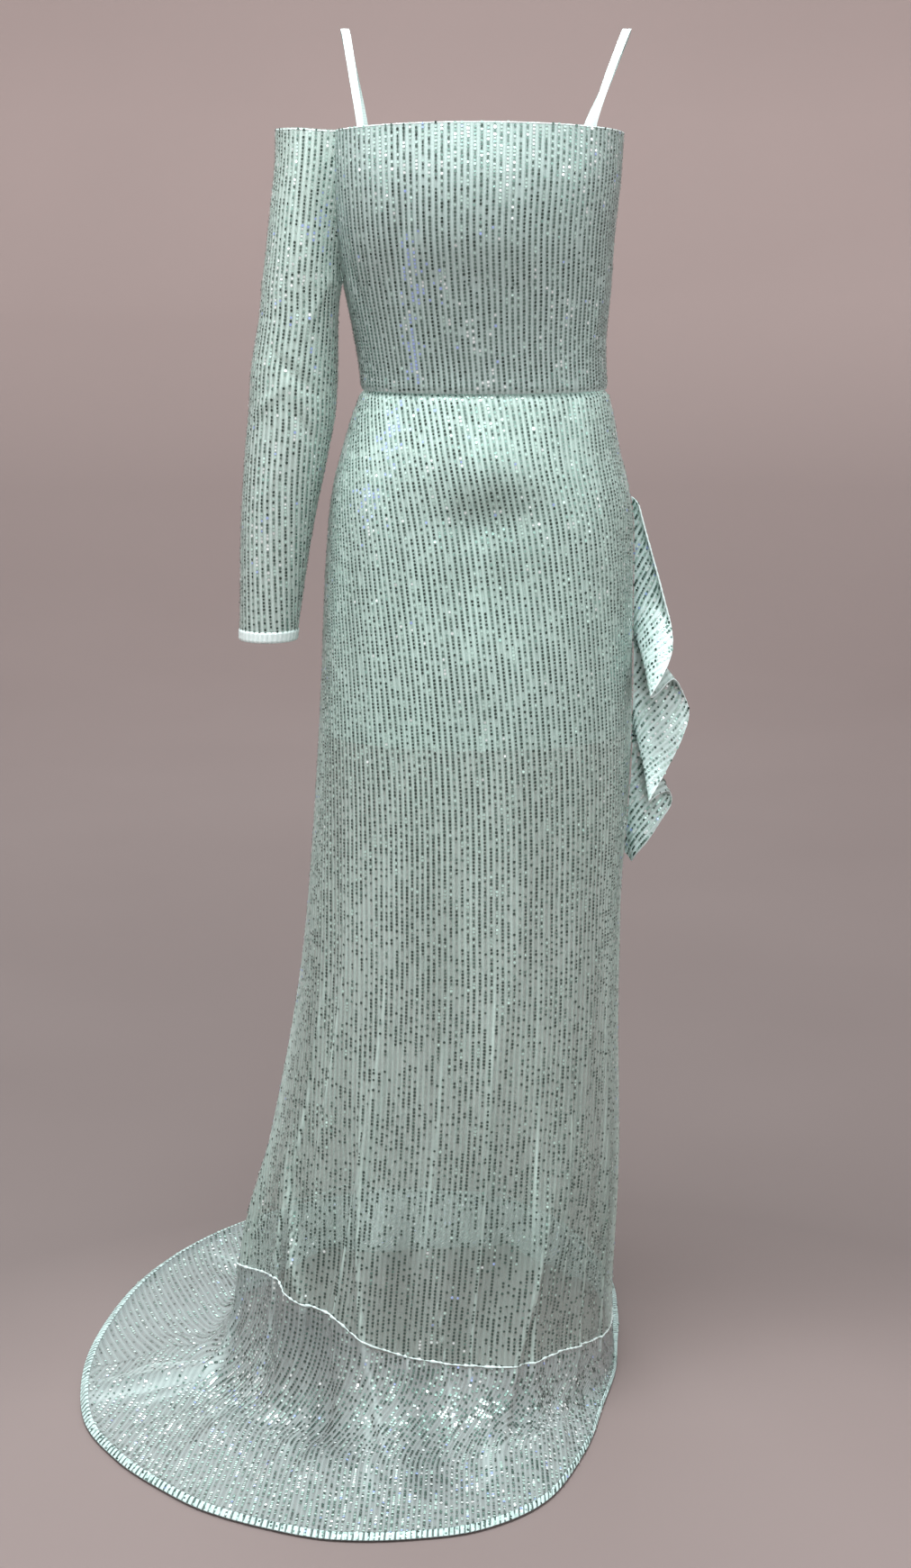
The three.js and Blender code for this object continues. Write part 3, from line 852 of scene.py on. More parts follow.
def bodice_lines(half):
    return lambda across, down: ring_length(PLACES["bodice_" + half](across, down)[0])


def train_lines(half):
    """Lines spread round the seam and become parallel on the floor, as in a panel cut from one cloth."""
    place_of = PLACES["train_" + half]
    hem = train(*place_of(np.array([0.0, 1.0]), np.ones(2)))[:, 0]

    def lines(across, out):
        x = train(*place_of(across, out))[..., 0]
        straight = TRAIN_LINES_STRAIGHT * smooth(out / TRAIN_LINES_TURN)
        return mix(across, (x - hem[0]) / (hem[1] - hem[0]), straight) * TRAIN_LINES_WIDTH

    return lines


class LineField:
    """Where a panel's sequin lines run: a line number at each point of a fine sample of the panel."""

    COLUMNS = 181
    ROWS = 241

    def __init__(self, surface, spacing, slant=0.0, line_of=None, thin=False):
        self.across = np.linspace(0, 1, self.COLUMNS)
        self.down = np.linspace(0, 1, self.ROWS)
        sample = surface(*np.meshgrid(self.across, self.down))
        steps = np.linalg.norm(np.diff(sample, axis=1), axis=2)
        gone = np.concatenate([np.zeros((self.ROWS, 1)), np.cumsum(steps, axis=1)], axis=1)
        falls = np.linalg.norm(np.diff(sample, axis=0), axis=2)
        fallen = np.concatenate([np.zeros((1, self.COLUMNS)), np.cumsum(falls, axis=0)], axis=0)
        self.length = fallen[-1].max() if thin else fallen[-1].mean()
        self.share_kept = fallen[-1] / self.length if thin else np.ones(self.COLUMNS)
        if line_of:
            self.lines = line_of(*np.meshgrid(self.across, self.down)) / spacing
        else:
            middle = slice(self.COLUMNS // 2, self.COLUMNS // 2 + 1)
            drift = slant * SLANT_REACH * (1 - np.exp(-fallen[:, middle] / SLANT_REACH))
            self.lines = (gone - gone[:, middle] + drift) / spacing
        self.along = fallen

    def sample(self, grid, across, down):
        column = np.clip(across, 0, 1) * (self.COLUMNS - 1)
        row = np.clip(down, 0, 1) * (self.ROWS - 1)
        left = np.minimum(column.astype(int), self.COLUMNS - 2)
        top = np.minimum(row.astype(int), self.ROWS - 2)
        right_share, low_share = column - left, row - top
        upper = mix(grid[top, left], grid[top, left + 1], right_share)
        lower = mix(grid[top + 1, left], grid[top + 1, left + 1], right_share)
        return mix(upper, lower, low_share)

    def rows(self, pitch):
        """Line places a row at a time: row number, line numbers and shares across and down."""
        for row in range(int(self.length / pitch)):
            down = (row + 0.5) * pitch / self.length
            if down >= 1:
                return
            at = down * (self.ROWS - 1)
            top = min(int(at), self.ROWS - 2)
            lines = mix(self.lines[top], self.lines[top + 1], at - top)
            numbers = np.arange(math.ceil(lines[0]), math.floor(lines[-1]) + 1)
            yield row, numbers, np.interp(numbers, lines, self.across), down


# Shader building
COLOUR_A, COLOUR_B, COLOUR_OUT = 6, 7, 2
PALE_FOLD_AND_LIGHT_NAME = "lap"
SHEER_TOP = (740 - SHOULDER_HEIGHT) * METRE
SHEER_FOOT = (160 - SHOULDER_HEIGHT) * METRE
WARM_TINT = (1.0, 0.975, 0.985, 1.0)
COOL_TINT = (0.93, 1.0, 0.965, 1.0)
TINT_SHARE = 0.85
RIB_SHARE = 0.7
NETS_A_LINE = 4.0
NETS_A_SEQUIN = 3.0
SHADE_STREAK_STRETCH = (1.0, 1.0, 0.09)
SHADE_STREAK_MIDDLE = 0.55
LAP_COVER = 0.4


class Socket:
    """One output of a node, so that shader maths reads as sums and products."""

    def __init__(self, paint, output):
        self.paint = paint
        self.output = output

    def maths(self, operation, other, swapped=False):
        pair = (other, self) if swapped else (self, other)
        return self.paint.node("ShaderNodeMath", {"operation": operation}, pair)

    def __add__(self, other):
        return self.maths("ADD", other)

    __radd__ = __add__

    def __sub__(self, other):
        return self.maths("SUBTRACT", other)

    def __rsub__(self, other):
        return self.maths("SUBTRACT", other, True)

    def __mul__(self, other):
        return self.maths("MULTIPLY", other)

    __rmul__ = __mul__

    def __pow__(self, other):
        return self.maths("POWER", other)


class Paint:
    """One material, with one way to add a node to it."""

    def __init__(self, name):
        self.material = bpy.data.materials.new(name)
        self.material.use_nodes = True
        self.tree = self.material.node_tree
        self.shader = self.tree.nodes["Principled BSDF"]

    def node(self, kind, settings=None, inputs=(), output=0):
        made = self.tree.nodes.new(kind)
        for key, value in (settings or {}).items():
            if key == "stops":
                self.set_stops(made.color_ramp, value)
            else:
                setattr(made, key, value)
        pairs = inputs.items() if isinstance(inputs, dict) else enumerate(inputs)
        for place, value in pairs:
            self.feed(made.inputs[place], value)
        return Socket(self, made.outputs[output])

    def set_stops(self, ramp, stops):
        for (place, colour), stop in zip(stops, (ramp.elements[0], ramp.elements[1])):
            stop.position = place
            stop.color = colour
        for place, colour in stops[2:]:
            ramp.elements.new(place).color = colour

    def feed(self, socket, value):
        if isinstance(value, Socket):
            self.tree.links.new(value.output, socket)
        else:
            socket.default_value = value

    def set(self, **values):
        for name, value in values.items():
            self.feed(self.shader.inputs[name.replace("_", " ")], value)

    def place(self):
        return self.node("ShaderNodeTexCoord", output="Object")

    def uv_shares(self):
        """Which line a place lies on, and how far along it, from the piece's own UV map."""
        uv = self.node("ShaderNodeUVMap", {"uv_map": "UVMap"})
        return self.part(uv, "X"), self.part(uv, "Y")

    def part(self, vector, axis):
        return self.node("ShaderNodeSeparateXYZ", {}, (vector,), axis)

    def bump(self, height, strength, distance):
        inputs = {"Strength": strength, "Distance": distance, "Height": height}
        return self.node("ShaderNodeBump", {}, inputs)

    def share_of(self, value, start, end):
        """How far a value has come from a start to an end, from 0 to 1."""
        return self.node("ShaderNodeMapRange", {}, {"Value": value, "From Min": start, "From Max": end})

    def blend(self, share, first, second, kind="MIX"):
        """A colour between two colours."""
        settings = {"data_type": "RGBA", "blend_type": kind}
        inputs = {"Factor": share, COLOUR_A: first, COLOUR_B: second}
        return self.node("ShaderNodeMix", settings, inputs, COLOUR_OUT)

    def noise(self, place, scale, detail=2.0):
        return self.node("ShaderNodeTexNoise", {}, {"Vector": place, "Scale": scale, "Detail": detail})

    def wave(self, value, turns=1.0):
        """A smooth wave from 0 on whole numbers to 1 between them."""
        turned = self.node("ShaderNodeMath", {"operation": "COSINE"}, (value * (2 * math.pi * turns),))
        return 0.5 - turned * 0.5


def rgb(red, green, blue):
    return (red, green, blue, 1.0)


def mesh_cloth(name, light, shade, solid=1.0, rib_cover=0.25, thinning_and_shade=0.0, shade_streaks=0.0, fading=0.0):
    """Stretch mesh: pale raised ribs between the sequin lines, a fine net and slow changes of tint."""
    paint = Paint(name)
    line, along = paint.uv_shares()
    place = paint.place()
    rib = paint.wave(line)
    net = paint.wave(line, NETS_A_LINE) * paint.wave(along, NETS_A_SEQUIN)
    cloud = paint.noise(place, scale=7.0)
    fleck = paint.noise(place, scale=420.0, detail=1.0)
    # The lap attribute: paler where cloth doubles at folds, plus painted sheen and painted shade.
    lap = paint.node("ShaderNodeAttribute", {"attribute_name": PALE_FOLD_AND_LIGHT_NAME}, output="Fac")
    rise = rib * RIB_SHARE + net * (1 - RIB_SHARE)
    low = paint.share_of(paint.part(place, "Z"), SHEER_TOP, SHEER_FOOT)
    relief = rise * (1.0 - low * fading) + low * (fading * 0.45)
    # Painted shade: low down the cloth gets darker as well as sheerer.
    lightness = relief * 0.75 + fleck * 0.35 + lap * 0.5 - low * thinning_and_shade
    # Painted shade in soft vertical streaks down the skirt.
    if shade_streaks:
        drawn = paint.node("ShaderNodeMapping", {}, {"Vector": place, "Scale": SHADE_STREAK_STRETCH})
        lightness = lightness + (paint.noise(drawn, scale=26.0, detail=3.0) - SHADE_STREAK_MIDDLE) * shade_streaks
    tone = paint.blend(lightness, shade, light)
    tint = paint.blend(cloud, COOL_TINT, WARM_TINT)
    colour = paint.blend(TINT_SHARE, tone, tint, "MULTIPLY")
    bump = paint.bump(rise, strength=0.6, distance=0.0006)
    paint.set(Base_Color=colour, Roughness=0.62 - net * 0.15, Normal=bump)
    if solid < 1:
        cover = (solid + relief * rib_cover) * (1.0 - low * thinning_and_shade)
        doubled = paint.node("ShaderNodeMath", {"operation": "MAXIMUM"}, (lap, 0.0))
        paint.set(Alpha=cover + doubled * LAP_COVER)
    paint.set(Sheen_Weight=0.12, Specular_IOR_Level=0.35)
    return paint.material


def knit_cloth(name, light, shade):
    """Plain fine knit: small columns of stitches and slow changes of tint."""
    paint = Paint(name)
    line, along = paint.uv_shares()
    stitch = paint.wave(line, turns=4.0) * 0.6 + paint.wave(along, turns=2.0) * 0.4
    cloud = paint.noise(paint.place(), scale=9.0)
    colour = paint.blend(stitch * 0.6 + cloud * 0.4, shade, light)
    bump = paint.bump(stitch, strength=0.4, distance=0.0003)
    paint.set(Base_Color=colour, Roughness=0.72 - stitch * 0.1, Normal=bump)
    paint.set(Sheen_Weight=0.1)
    return paint.material


def hem_cloth(name, light, shade):
    """The rolled hem: pale cloth with short dark ticks of caught sequins along its upper side."""
    paint = Paint(name)
    around, _ = paint.uv_shares()
    place = paint.place()
    grain = paint.noise(place, scale=300.0, detail=1.0)
    tick = paint.wave(around) ** 2.2
    chance = paint.noise(place, scale=110.0, detail=0.0)
    sharp = paint.share_of(tick * chance, 0.14, 0.34)
    colour = paint.blend(sharp, light, shade)
    bump = paint.bump(grain - tick, strength=0.6, distance=0.0008)
    paint.set(Base_Color=colour, Roughness=0.6 - sharp * 0.3, Normal=bump)
    return paint.material


def edge_cloth(name, light, shade):
    """Turned and overlocked edges: dense pale thread with small steps along it."""
    paint = Paint(name)
    place = paint.place()
    grain = paint.noise(place, scale=900.0, detail=1.0)
    cloud = paint.noise(place, scale=60.0)
    colour = paint.blend(grain * 0.6 + cloud * 0.4, shade, light)
    bump = paint.bump(grain, strength=0.5, distance=0.0005)
    paint.set(Base_Color=colour, Roughness=0.55 + grain * 0.2, Normal=bump)
    return paint.material


def elastic_web(name, light, shade):
    """Flat woven elastic: fine ribs along the strap and small weft steps across it."""
    paint = Paint(name)
    across, along = paint.uv_shares()
    weave = paint.wave(across, turns=7.0) * 0.6 + paint.wave(along) * 0.4
    colour = paint.blend(weave, shade, light)
    bump = paint.bump(weave, strength=0.6, distance=0.0003)
    paint.set(Base_Color=colour, Roughness=0.5 + weave * 0.12, Normal=bump)
    return paint.material


SEQUIN_FINISHES_AND_PAINTED_LIGHT = (
    # Smoke and grey: silver sequins darkened to stand in for the dim room that they mirror, a painted
    # reflection.
    ("sequin_smoke_painted_reflection", rgb(0.10, 0.155, 0.135), 0.8, 0.26),
    ("sequin_grey_painted_reflection", rgb(0.20, 0.30, 0.265), 0.8, 0.28),
    ("sequin_clear", rgb(0.50, 0.66, 0.60), 0.35, 0.3),
    # Ice and silver: painted blue and white glints.
    ("sequin_painted_blue_glint", rgb(0.46, 0.58, 1.0), 0.4, 0.2),
    ("sequin_painted_white_glint", rgb(0.94, 0.99, 0.98), 0.4, 0.16),
)
SMOKE, GREY, CLEAR, PAINTED_BLUE_GLINT, PAINTED_WHITE_GLINT = range(len(SEQUIN_FINISHES_AND_PAINTED_LIGHT))
NO_SEQUIN = -1


def sequin_material(name, colour, metallic, roughness):
    paint = Paint(name)
    paint.set(Base_Color=colour, Metallic=metallic, Roughness=roughness)
    return paint.material


# Mesh making
def deselect_all():
    bpy.ops.object.select_all(action="DESELECT")


def unit_grid(name, columns, rows):
    deselect_all()
    bpy.ops.mesh.primitive_grid_add(x_subdivisions=columns, y_subdivisions=rows, size=1)
    piece = bpy.context.object
    piece.name = name
    piece.data.name = name
    return piece


def read_vertices(mesh):
    flat = np.empty(len(mesh.vertices) * 3)
    mesh.vertices.foreach_get("co", flat)
    return flat.reshape(-1, 3)


def lay_on(piece, surface):
    """Lays a unit grid on a surface, and gives back each vertex's shares across and down."""
    flat = read_vertices(piece.data)
    across = np.clip(flat[:, 0] + 0.5, 0, 1)
    down = np.clip(flat[:, 1] + 0.5, 0, 1)
    piece.data.vertices.foreach_set("co", (surface(across, down) * METRE).ravel())
    piece.data.update()
    return across, down


def set_uv(piece, first, second):
    mesh = piece.data
    corner = np.empty(len(mesh.loops), int)
    mesh.loops.foreach_get("vertex_index", corner)
    mesh.uv_layers["UVMap"].data.foreach_set("uv", np.stack([first, second], 1)[corner].ravel())


def give_wall(piece, thickness):
    """A thin wall behind the outer face, with its own rim."""
    deselect_all()
    piece.select_set(True)
    bpy.context.view_layer.objects.active = piece
    wall = piece.modifiers.new("wall", "SOLIDIFY")
    wall.thickness = thickness * METRE
    wall.offset = -1
    bpy.ops.object.modifier_apply(modifier=wall.name)
    bpy.ops.object.shade_smooth_by_angle(angle=SMOOTH_ANGLE)


def cloth_piece(name, surface, grid, wall, material, uv_of, pale_fold_and_light_of=None):
    """A sheet of cloth on a surface, with its wall, its weave and how pale its doubled places look, with
    painted sheen and shade added.
    """
    piece = unit_grid(name, *grid)
    across, down = lay_on(piece, surface)
    set_uv(piece, *uv_of(across, down))
    if pale_fold_and_light_of:
        lap = piece.data.attributes.new(PALE_FOLD_AND_LIGHT_NAME, "FLOAT", "POINT")
        lap.data.foreach_set("value", pale_fold_and_light_of(across, down))
    give_wall(piece, wall)
    piece.data.materials.append(material)
    return piece


def tube(name, path, radius, uneven, wander=0.0):
    """A thin round roll of edge thread along a path in millimetres, closed at its ends."""
    count = len(path)
    rng = np.random.default_rng(len(name) * ROLL_KNOTS + count)
    knots = rng.uniform(-wander, wander, count // ROLL_KNOTS + 2)
    path = np.array(path, float)
    path[:, 2] += np.interp(np.arange(count), np.arange(len(knots)) * ROLL_KNOTS, knots)
    ahead = np.gradient(path, axis=0)
    ahead /= np.linalg.norm(ahead, axis=1, keepdims=True)
    side = np.cross(ahead, [0.0, 0.0, 1.0])
    flat = np.linalg.norm(side, axis=1) < 0.2
    side[flat] = np.cross(ahead[flat], [1.0, 0.0, 0.0])
    side /= np.linalg.norm(side, axis=1, keepdims=True)
    over = np.cross(side, ahead)
    swell = 1 + uneven * (rng.random(count) ** 2 - 0.3)
    piece = unit_grid(name, ROLL_SIDES, count - 1)
    grid = read_vertices(piece.data)
    turn = (grid[:, 0] + 0.5) * 2 * math.pi
    index = np.rint((grid[:, 1] + 0.5) * (count - 1)).astype(int)
    reach = (radius * swell)[index][:, None]
    round_point = side[index] * np.cos(turn)[:, None] + over[index] * np.sin(turn)[:, None]
    placed = path[index] + round_point * reach
    piece.data.vertices.foreach_set("co", (placed * METRE).ravel())
    piece.data.update()
    bpy.ops.object.mode_set(mode="EDIT")
    bpy.ops.mesh.select_all(action="SELECT")
    bpy.ops.mesh.remove_doubles(threshold=MERGE_DISTANCE)
    bpy.ops.mesh.fill_holes(sides=0)
    bpy.ops.mesh.normals_make_consistent(inside=False)
    bpy.ops.object.mode_set(mode="OBJECT")
    bpy.ops.object.shade_smooth_by_angle(angle=SMOOTH_ANGLE)
    piece.data.materials.append(cloth_edge)
    return piece


def sequin_outline():
    """The rim of one sequin, modelled once: a small six-sided disc."""
    deselect_all()
    bpy.ops.mesh.primitive_circle_add(vertices=SEQUIN_SIDES, radius=SEQUIN_RADIUS * METRE, fill_type="NGON")
    disc = bpy.context.object
    rim = read_vertices(disc.data)
    bpy.data.objects.remove(disc)
    return rim


def tile_sequins(name, places, normals, downs, finish_and_painted_light, rng):
    """One joined mesh of sequins, each a copy of the disc turned to the cloth with a small tilt."""
    rim = sequin_outline()
    count = len(places)
    tilt = rng.normal(0, SEQUIN_TILT, (count, 3))
    up = normals + tilt
    up /= np.linalg.norm(up, axis=1, keepdims=True)
    side = np.cross(up, downs)
    side /= np.linalg.norm(side, axis=1, keepdims=True)
    ahead = np.cross(side, up)
    sizes = 1 + SEQUIN_SIZE_SPREAD * rng.uniform(-1, 1, (count, 1, 1))
    spread = side[:, None] * rim[None, :, :1] + ahead[:, None] * rim[None, :, 1:2]
    corners = ((places + normals * SEQUIN_LIFT) * METRE)[:, None] + spread * sizes
    mesh = bpy.data.meshes.new(name)
    sides = len(rim)
    mesh.vertices.add(count * sides)
    mesh.vertices.foreach_set("co", corners.ravel())
    mesh.loops.add(count * sides)
    mesh.loops.foreach_set("vertex_index", np.arange(count * sides))
    mesh.polygons.add(count)
    mesh.polygons.foreach_set("loop_start", np.arange(count) * sides)
    mesh.polygons.foreach_set("material_index", finish_and_painted_light)
    mesh.update(calc_edges=True)
    piece = bpy.data.objects.new(name, mesh)
    bpy.context.scene.collection.objects.link(piece)
    for material in sequin_materials:
        mesh.materials.append(material)
    return piece


def run_noise(rng, lines, rows, run):
    """A slow random value along each line, so that light and missing sequins come in runs."""
    coarse = rng.random((lines, rows // run + 3))
    place = np.arange(rows) / run
    low = place.astype(int)
    share = smooth(place - low)
    return coarse[:, low] * (1 - share) + coarse[:, low + 1] * share


def choose_finish_and_painted_light(score, chance, mood):
    """A finish for each sequin, or none; sequins past the mood's shares get a painted white or blue glint.
    Mood is the share missing, smoke, grey and clear.
    """
    missing, smoke, grey, clear = mood
    finish_and_painted_light = np.full(score.shape, PAINTED_WHITE_GLINT)
    finish_and_painted_light[chance < PAINTED_BLUE_GLINT_SHARE] = PAINTED_BLUE_GLINT
    level = missing + smoke + grey + clear
    finish_and_painted_light[score < level] = CLEAR
    finish_and_painted_light[score < missing + smoke + grey] = GREY
    finish_and_painted_light[score < missing + smoke] = SMOKE
    finish_and_painted_light[score < missing] = NO_SEQUIN
    return finish_and_painted_light


def add_glints(finish_and_painted_light, rng, rows, angle, place):
    """Paints glints: turns some sequins white or blue where a table says that they should look lit."""
    for centre, middle, wide, tall, white, blue in zip(*rows.values()):
        near = bell(shortest_turn(angle - centre) / wide, (place - middle) / tall)
        draw = rng.random(len(finish_and_painted_light))
        shown = finish_and_painted_light >= 0
        finish_and_painted_light[shown & (draw < blue * near)] = PAINTED_BLUE_GLINT
        finish_and_painted_light[shown & (draw > 1 - white * near)] = PAINTED_WHITE_GLINT


def inside(share):
    return np.clip(share, SEQUIN_EDGE, 1 - SEQUIN_EDGE)


def sequins_for(name, surface, field, mood_of, seed, glints=None, side=1):
    """All the sequins of a panel, a row at a time along its lines."""
    rng = np.random.default_rng(seed)
    rows = list(field.rows(SEQUIN_PITCH))
    first = min(row[1][0] for row in rows)
    last = max(row[1][-1] for row in rows)
    noise = run_noise(rng, last - first + 1, rows[-1][0] + 1, SEQUIN_RUN)
    phase = rng.random(last - first + 1) - 0.5
    across, down, score = [], [], []
    for row, numbers, shares, place in rows:
        across.append(shares)
        down.append(inside(place + phase[numbers - first] * SEQUIN_PITCH / field.length))
        score.append(noise[numbers - first, row])
    across, down, score = (np.concatenate(part) for part in (across, down, score))
    across = inside(across)
    score = np.clip(score * RUN_SHARE + rng.random(len(score)) * (1 - RUN_SHARE), 0, 1)
    ranked = np.argsort(np.argsort(score)) / len(score)
    chance = rng.random(len(score))
    finish_and_painted_light = choose_finish_and_painted_light(ranked, chance, mood_of(across, down))
    if glints:
        glint_rows, place_of = glints
        add_glints(finish_and_painted_light, rng, glint_rows, *place_of(across, down))
    kept = (finish_and_painted_light >= 0) & (rng.random(len(finish_and_painted_light)) < np.interp(across, field.across, field.share_kept))
    across, down, finish_and_painted_light = across[kept], down[kept], finish_and_painted_light[kept]
    places = surface(across, down)
    normals = outward(surface, across, down)
    downs = surface(across, down + SLOPE_STEP) - surface(across, down - SLOPE_STEP)
    downs /= np.linalg.norm(downs, axis=1, keepdims=True)
    if side < 0:
        places = places - normals * CLOTH_THICKNESS
    return tile_sequins(name, places, normals * side, downs, finish_and_painted_light, rng)


# Bodice and cascade are the same stretch mesh: the bodice's copy is darker with painted shade, the cascade's
# lighter with painted light.
cloth_bodice_painted_shade = mesh_cloth("bodice_mesh_painted_shade", rgb(0.51, 0.61, 0.585), rgb(0.27, 0.33, 0.32))
cloth_cascade_painted_light = mesh_cloth("cascade_mesh_painted_light", rgb(0.80, 0.94, 0.93), rgb(0.50, 0.60, 0.58))
cloth_cuff = mesh_cloth("cuff_mesh", rgb(0.93, 1.0, 1.0), rgb(0.66, 0.78, 0.76))
cloth_skirt = mesh_cloth(
    "skirt_mesh", rgb(0.80, 0.95, 0.90), rgb(0.39, 0.468, 0.432),
    solid=0.27, rib_cover=0.3, thinning_and_shade=0.25, shade_streaks=1.1, fading=0.62,
)
cloth_sleeve = mesh_cloth(
    "sleeve_mesh", rgb(0.74, 0.86, 0.82), rgb(0.46, 0.54, 0.50), solid=0.40, rib_cover=0.34
)
cloth_train = mesh_cloth(
    "train_mesh", rgb(0.60, 0.67, 0.665), rgb(0.31, 0.36, 0.36), solid=0.25, rib_cover=0.24, fading=0.5
)
cloth_hem = hem_cloth("hem_mesh", rgb(0.54, 0.68, 0.66), rgb(0.07, 0.11, 0.10))
cloth_lining = knit_cloth("lining_knit", rgb(0.84, 1.0, 0.96), rgb(0.72, 0.88, 0.84))
cloth_edge = edge_cloth("turned_edge", rgb(0.9, 0.98, 0.97), rgb(0.54, 0.65, 0.63))
strap_web = elastic_web("strap_web", rgb(0.85, 0.97, 0.95), rgb(0.60, 0.71, 0.69))
sequin_materials = [sequin_material(*finish_and_painted_light) for finish_and_painted_light in SEQUIN_FINISHES_AND_PAINTED_LIGHT]


def settle(piece, nodes=()):
    """Puts a piece on the gown's one body and hides the solids that it stands for."""
    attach(piece, "root")
    if nodes:
        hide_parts(*nodes)


# Moods: the shares of a panel's sequins that are missing, smoke, grey and clear, high and low on it.
# The bodice's paler high mood is painted light from above, and its darker low mood painted shade.
BODICE_HIGH, BODICE_LOW = (0.03, 0.08, 0.4, 0.36), (0.03, 0.3, 0.6, 0.05)
SKIRT_HIGH, SKIRT_LOW = (0.07, 0.5, 0.3, 0.12), (0.5, 0.34, 0.1, 0.08)
TRAIN_HIGH = (0.26, 0.3, 0.18, 0.2)
TRAIN_FRONT_LOW = (0.2, 0.16, 0.3, 0.26)
TRAIN_BACK_LOW = (0.2, 0.16, 0.28, 0.26)
SLEEVE_MOOD = (0.1, 0.3, 0.34, 0.21)
# The cascade's sequins are paler: painted light on a part that faces away from the lamps.
CASCADE_MOOD_PAINTED_LIGHT = (0.1, 0.16, 0.3, 0.3)


def painted_side_sheen(across):
    """How much a place on a front or back panel turns to the side, where sequins and cloth get a painted
    sheen.
    """
    return smooth((np.abs(across - 0.5) - 0.33) / 0.14)


def hollow_shade_at(across, down):
    """How deep a place lies in the soft hollow below the waist, from 0 to 1, for painted shade there."""
    return bell((across - 0.495) / 0.11, (down - 0.13) / 0.05)


def foot_shade_at(across, down):
    """The two places of painted shade low on the front of the skirt, from 0 to 1."""
    sides = bell((across - 0.7) / 0.1) + bell((across - 0.45) / 0.13)
    return smooth((down - 0.84) / 0.1) * np.minimum(sides, 1)


def between(first, second, share):
    return [mix(start, end, share) for start, end in zip(first, second)]


def bodice_mood(across, down):
    # Painted light: sequins paler high on the bodice, darker lower where shade falls, and paler at the
    # sides.
    low = smooth((down - 0.05) / 0.4) * (1 - 0.7 * painted_side_sheen(across))
    return between(BODICE_HIGH, BODICE_LOW, low)


def skirt_mood(across, down):
    """Close dark lines at the hips, then fewer sequins, with a bare run beside a dark one."""
    # Painted shade: darker sequins in the hollow and at the foot. Painted sheen: fewer dark ones at the
    # sides.
    sparse = smooth((down - 0.3) / 0.45)
    bare = 0.1 * bell((across - 0.61) / 0.07) - 0.14 * bell((across - 0.47) / 0.035)
    hollow = hollow_shade_at(across, down)
    foot = foot_shade_at(across, down)
    missing, smoke, grey, clear = SKIRT_LOW
    skirt_low = missing + bare, smoke - np.minimum(bare, 0), grey, clear
    missing, smoke, grey, clear = between(SKIRT_HIGH, skirt_low, sparse)
    smoke = smoke * (1 - 0.62 * painted_side_sheen(across)) + 0.3 * hollow + 0.3 * foot
    pale = 1 - 0.8 * np.maximum(hollow, foot)
    return missing - 0.22 * foot, smoke, grey * pale, clear * pale


def train_front_mood(across, down):
    """Two wedges of painted shade beside the folds, then paler cloth on the floor."""
    missing, smoke, grey, clear = between(TRAIN_HIGH, TRAIN_FRONT_LOW, smooth((down - 0.15) / 0.4))
    dark = train_shade(*PLACES["train_front"](across, down))
    return missing - 0.1 * dark, smoke + 0.36 * dark, grey, clear * (1 - 0.8 * dark)


def train_back_mood(across, down):
    """The same behind, with bare thin cloth where it lies in one layer by the sleeve side."""
    missing, smoke, grey, clear = between(TRAIN_HIGH, TRAIN_BACK_LOW, smooth((down - 0.15) / 0.4))
    bare = 0.18 * smooth((0.3 - across) / 0.15) * smooth(across / 0.04)
    return missing + bare, smoke, grey, clear


def sleeve_mood(across, down):
    return SLEEVE_MOOD


def cascade_mood(across, down):
    return CASCADE_MOOD_PAINTED_LIGHT


def skirt_pale_folds_and_painted_light(half):
    """How much paler a skirt panel's cloth looks at its folds, with painted sheen at its sides and painted
    shade in its hollows.
    """

    def pale_folds_and_painted_light(across, down):
        angle, height = PLACES["skirt_" + half](across, down)
        pale = np.maximum(fold_edges(angle, height, 0.0)[1], painted_side_sheen(across) * mix(0.45, 0.75, down))
        if half == "back":
            return pale
        return pale - 0.8 * hollow_shade_at(across, down) - 0.4 * foot_shade_at(across, down)

    return pale_folds_and_painted_light


def train_pale_folds_and_painted_light(half):
    """The same on the train: paler on folds and crumpled ridges, with painted shade beside them."""

    def pale_folds_and_painted_light(across, down):
        angle, out = PLACES["train_" + half](across, down)
        pale = np.maximum(fold_edges(angle, train_seam(angle), out)[1], ridge_cover(angle, out))
        return pale - 0.75 * train_shade(angle, out)

    return pale_folds_and_painted_light


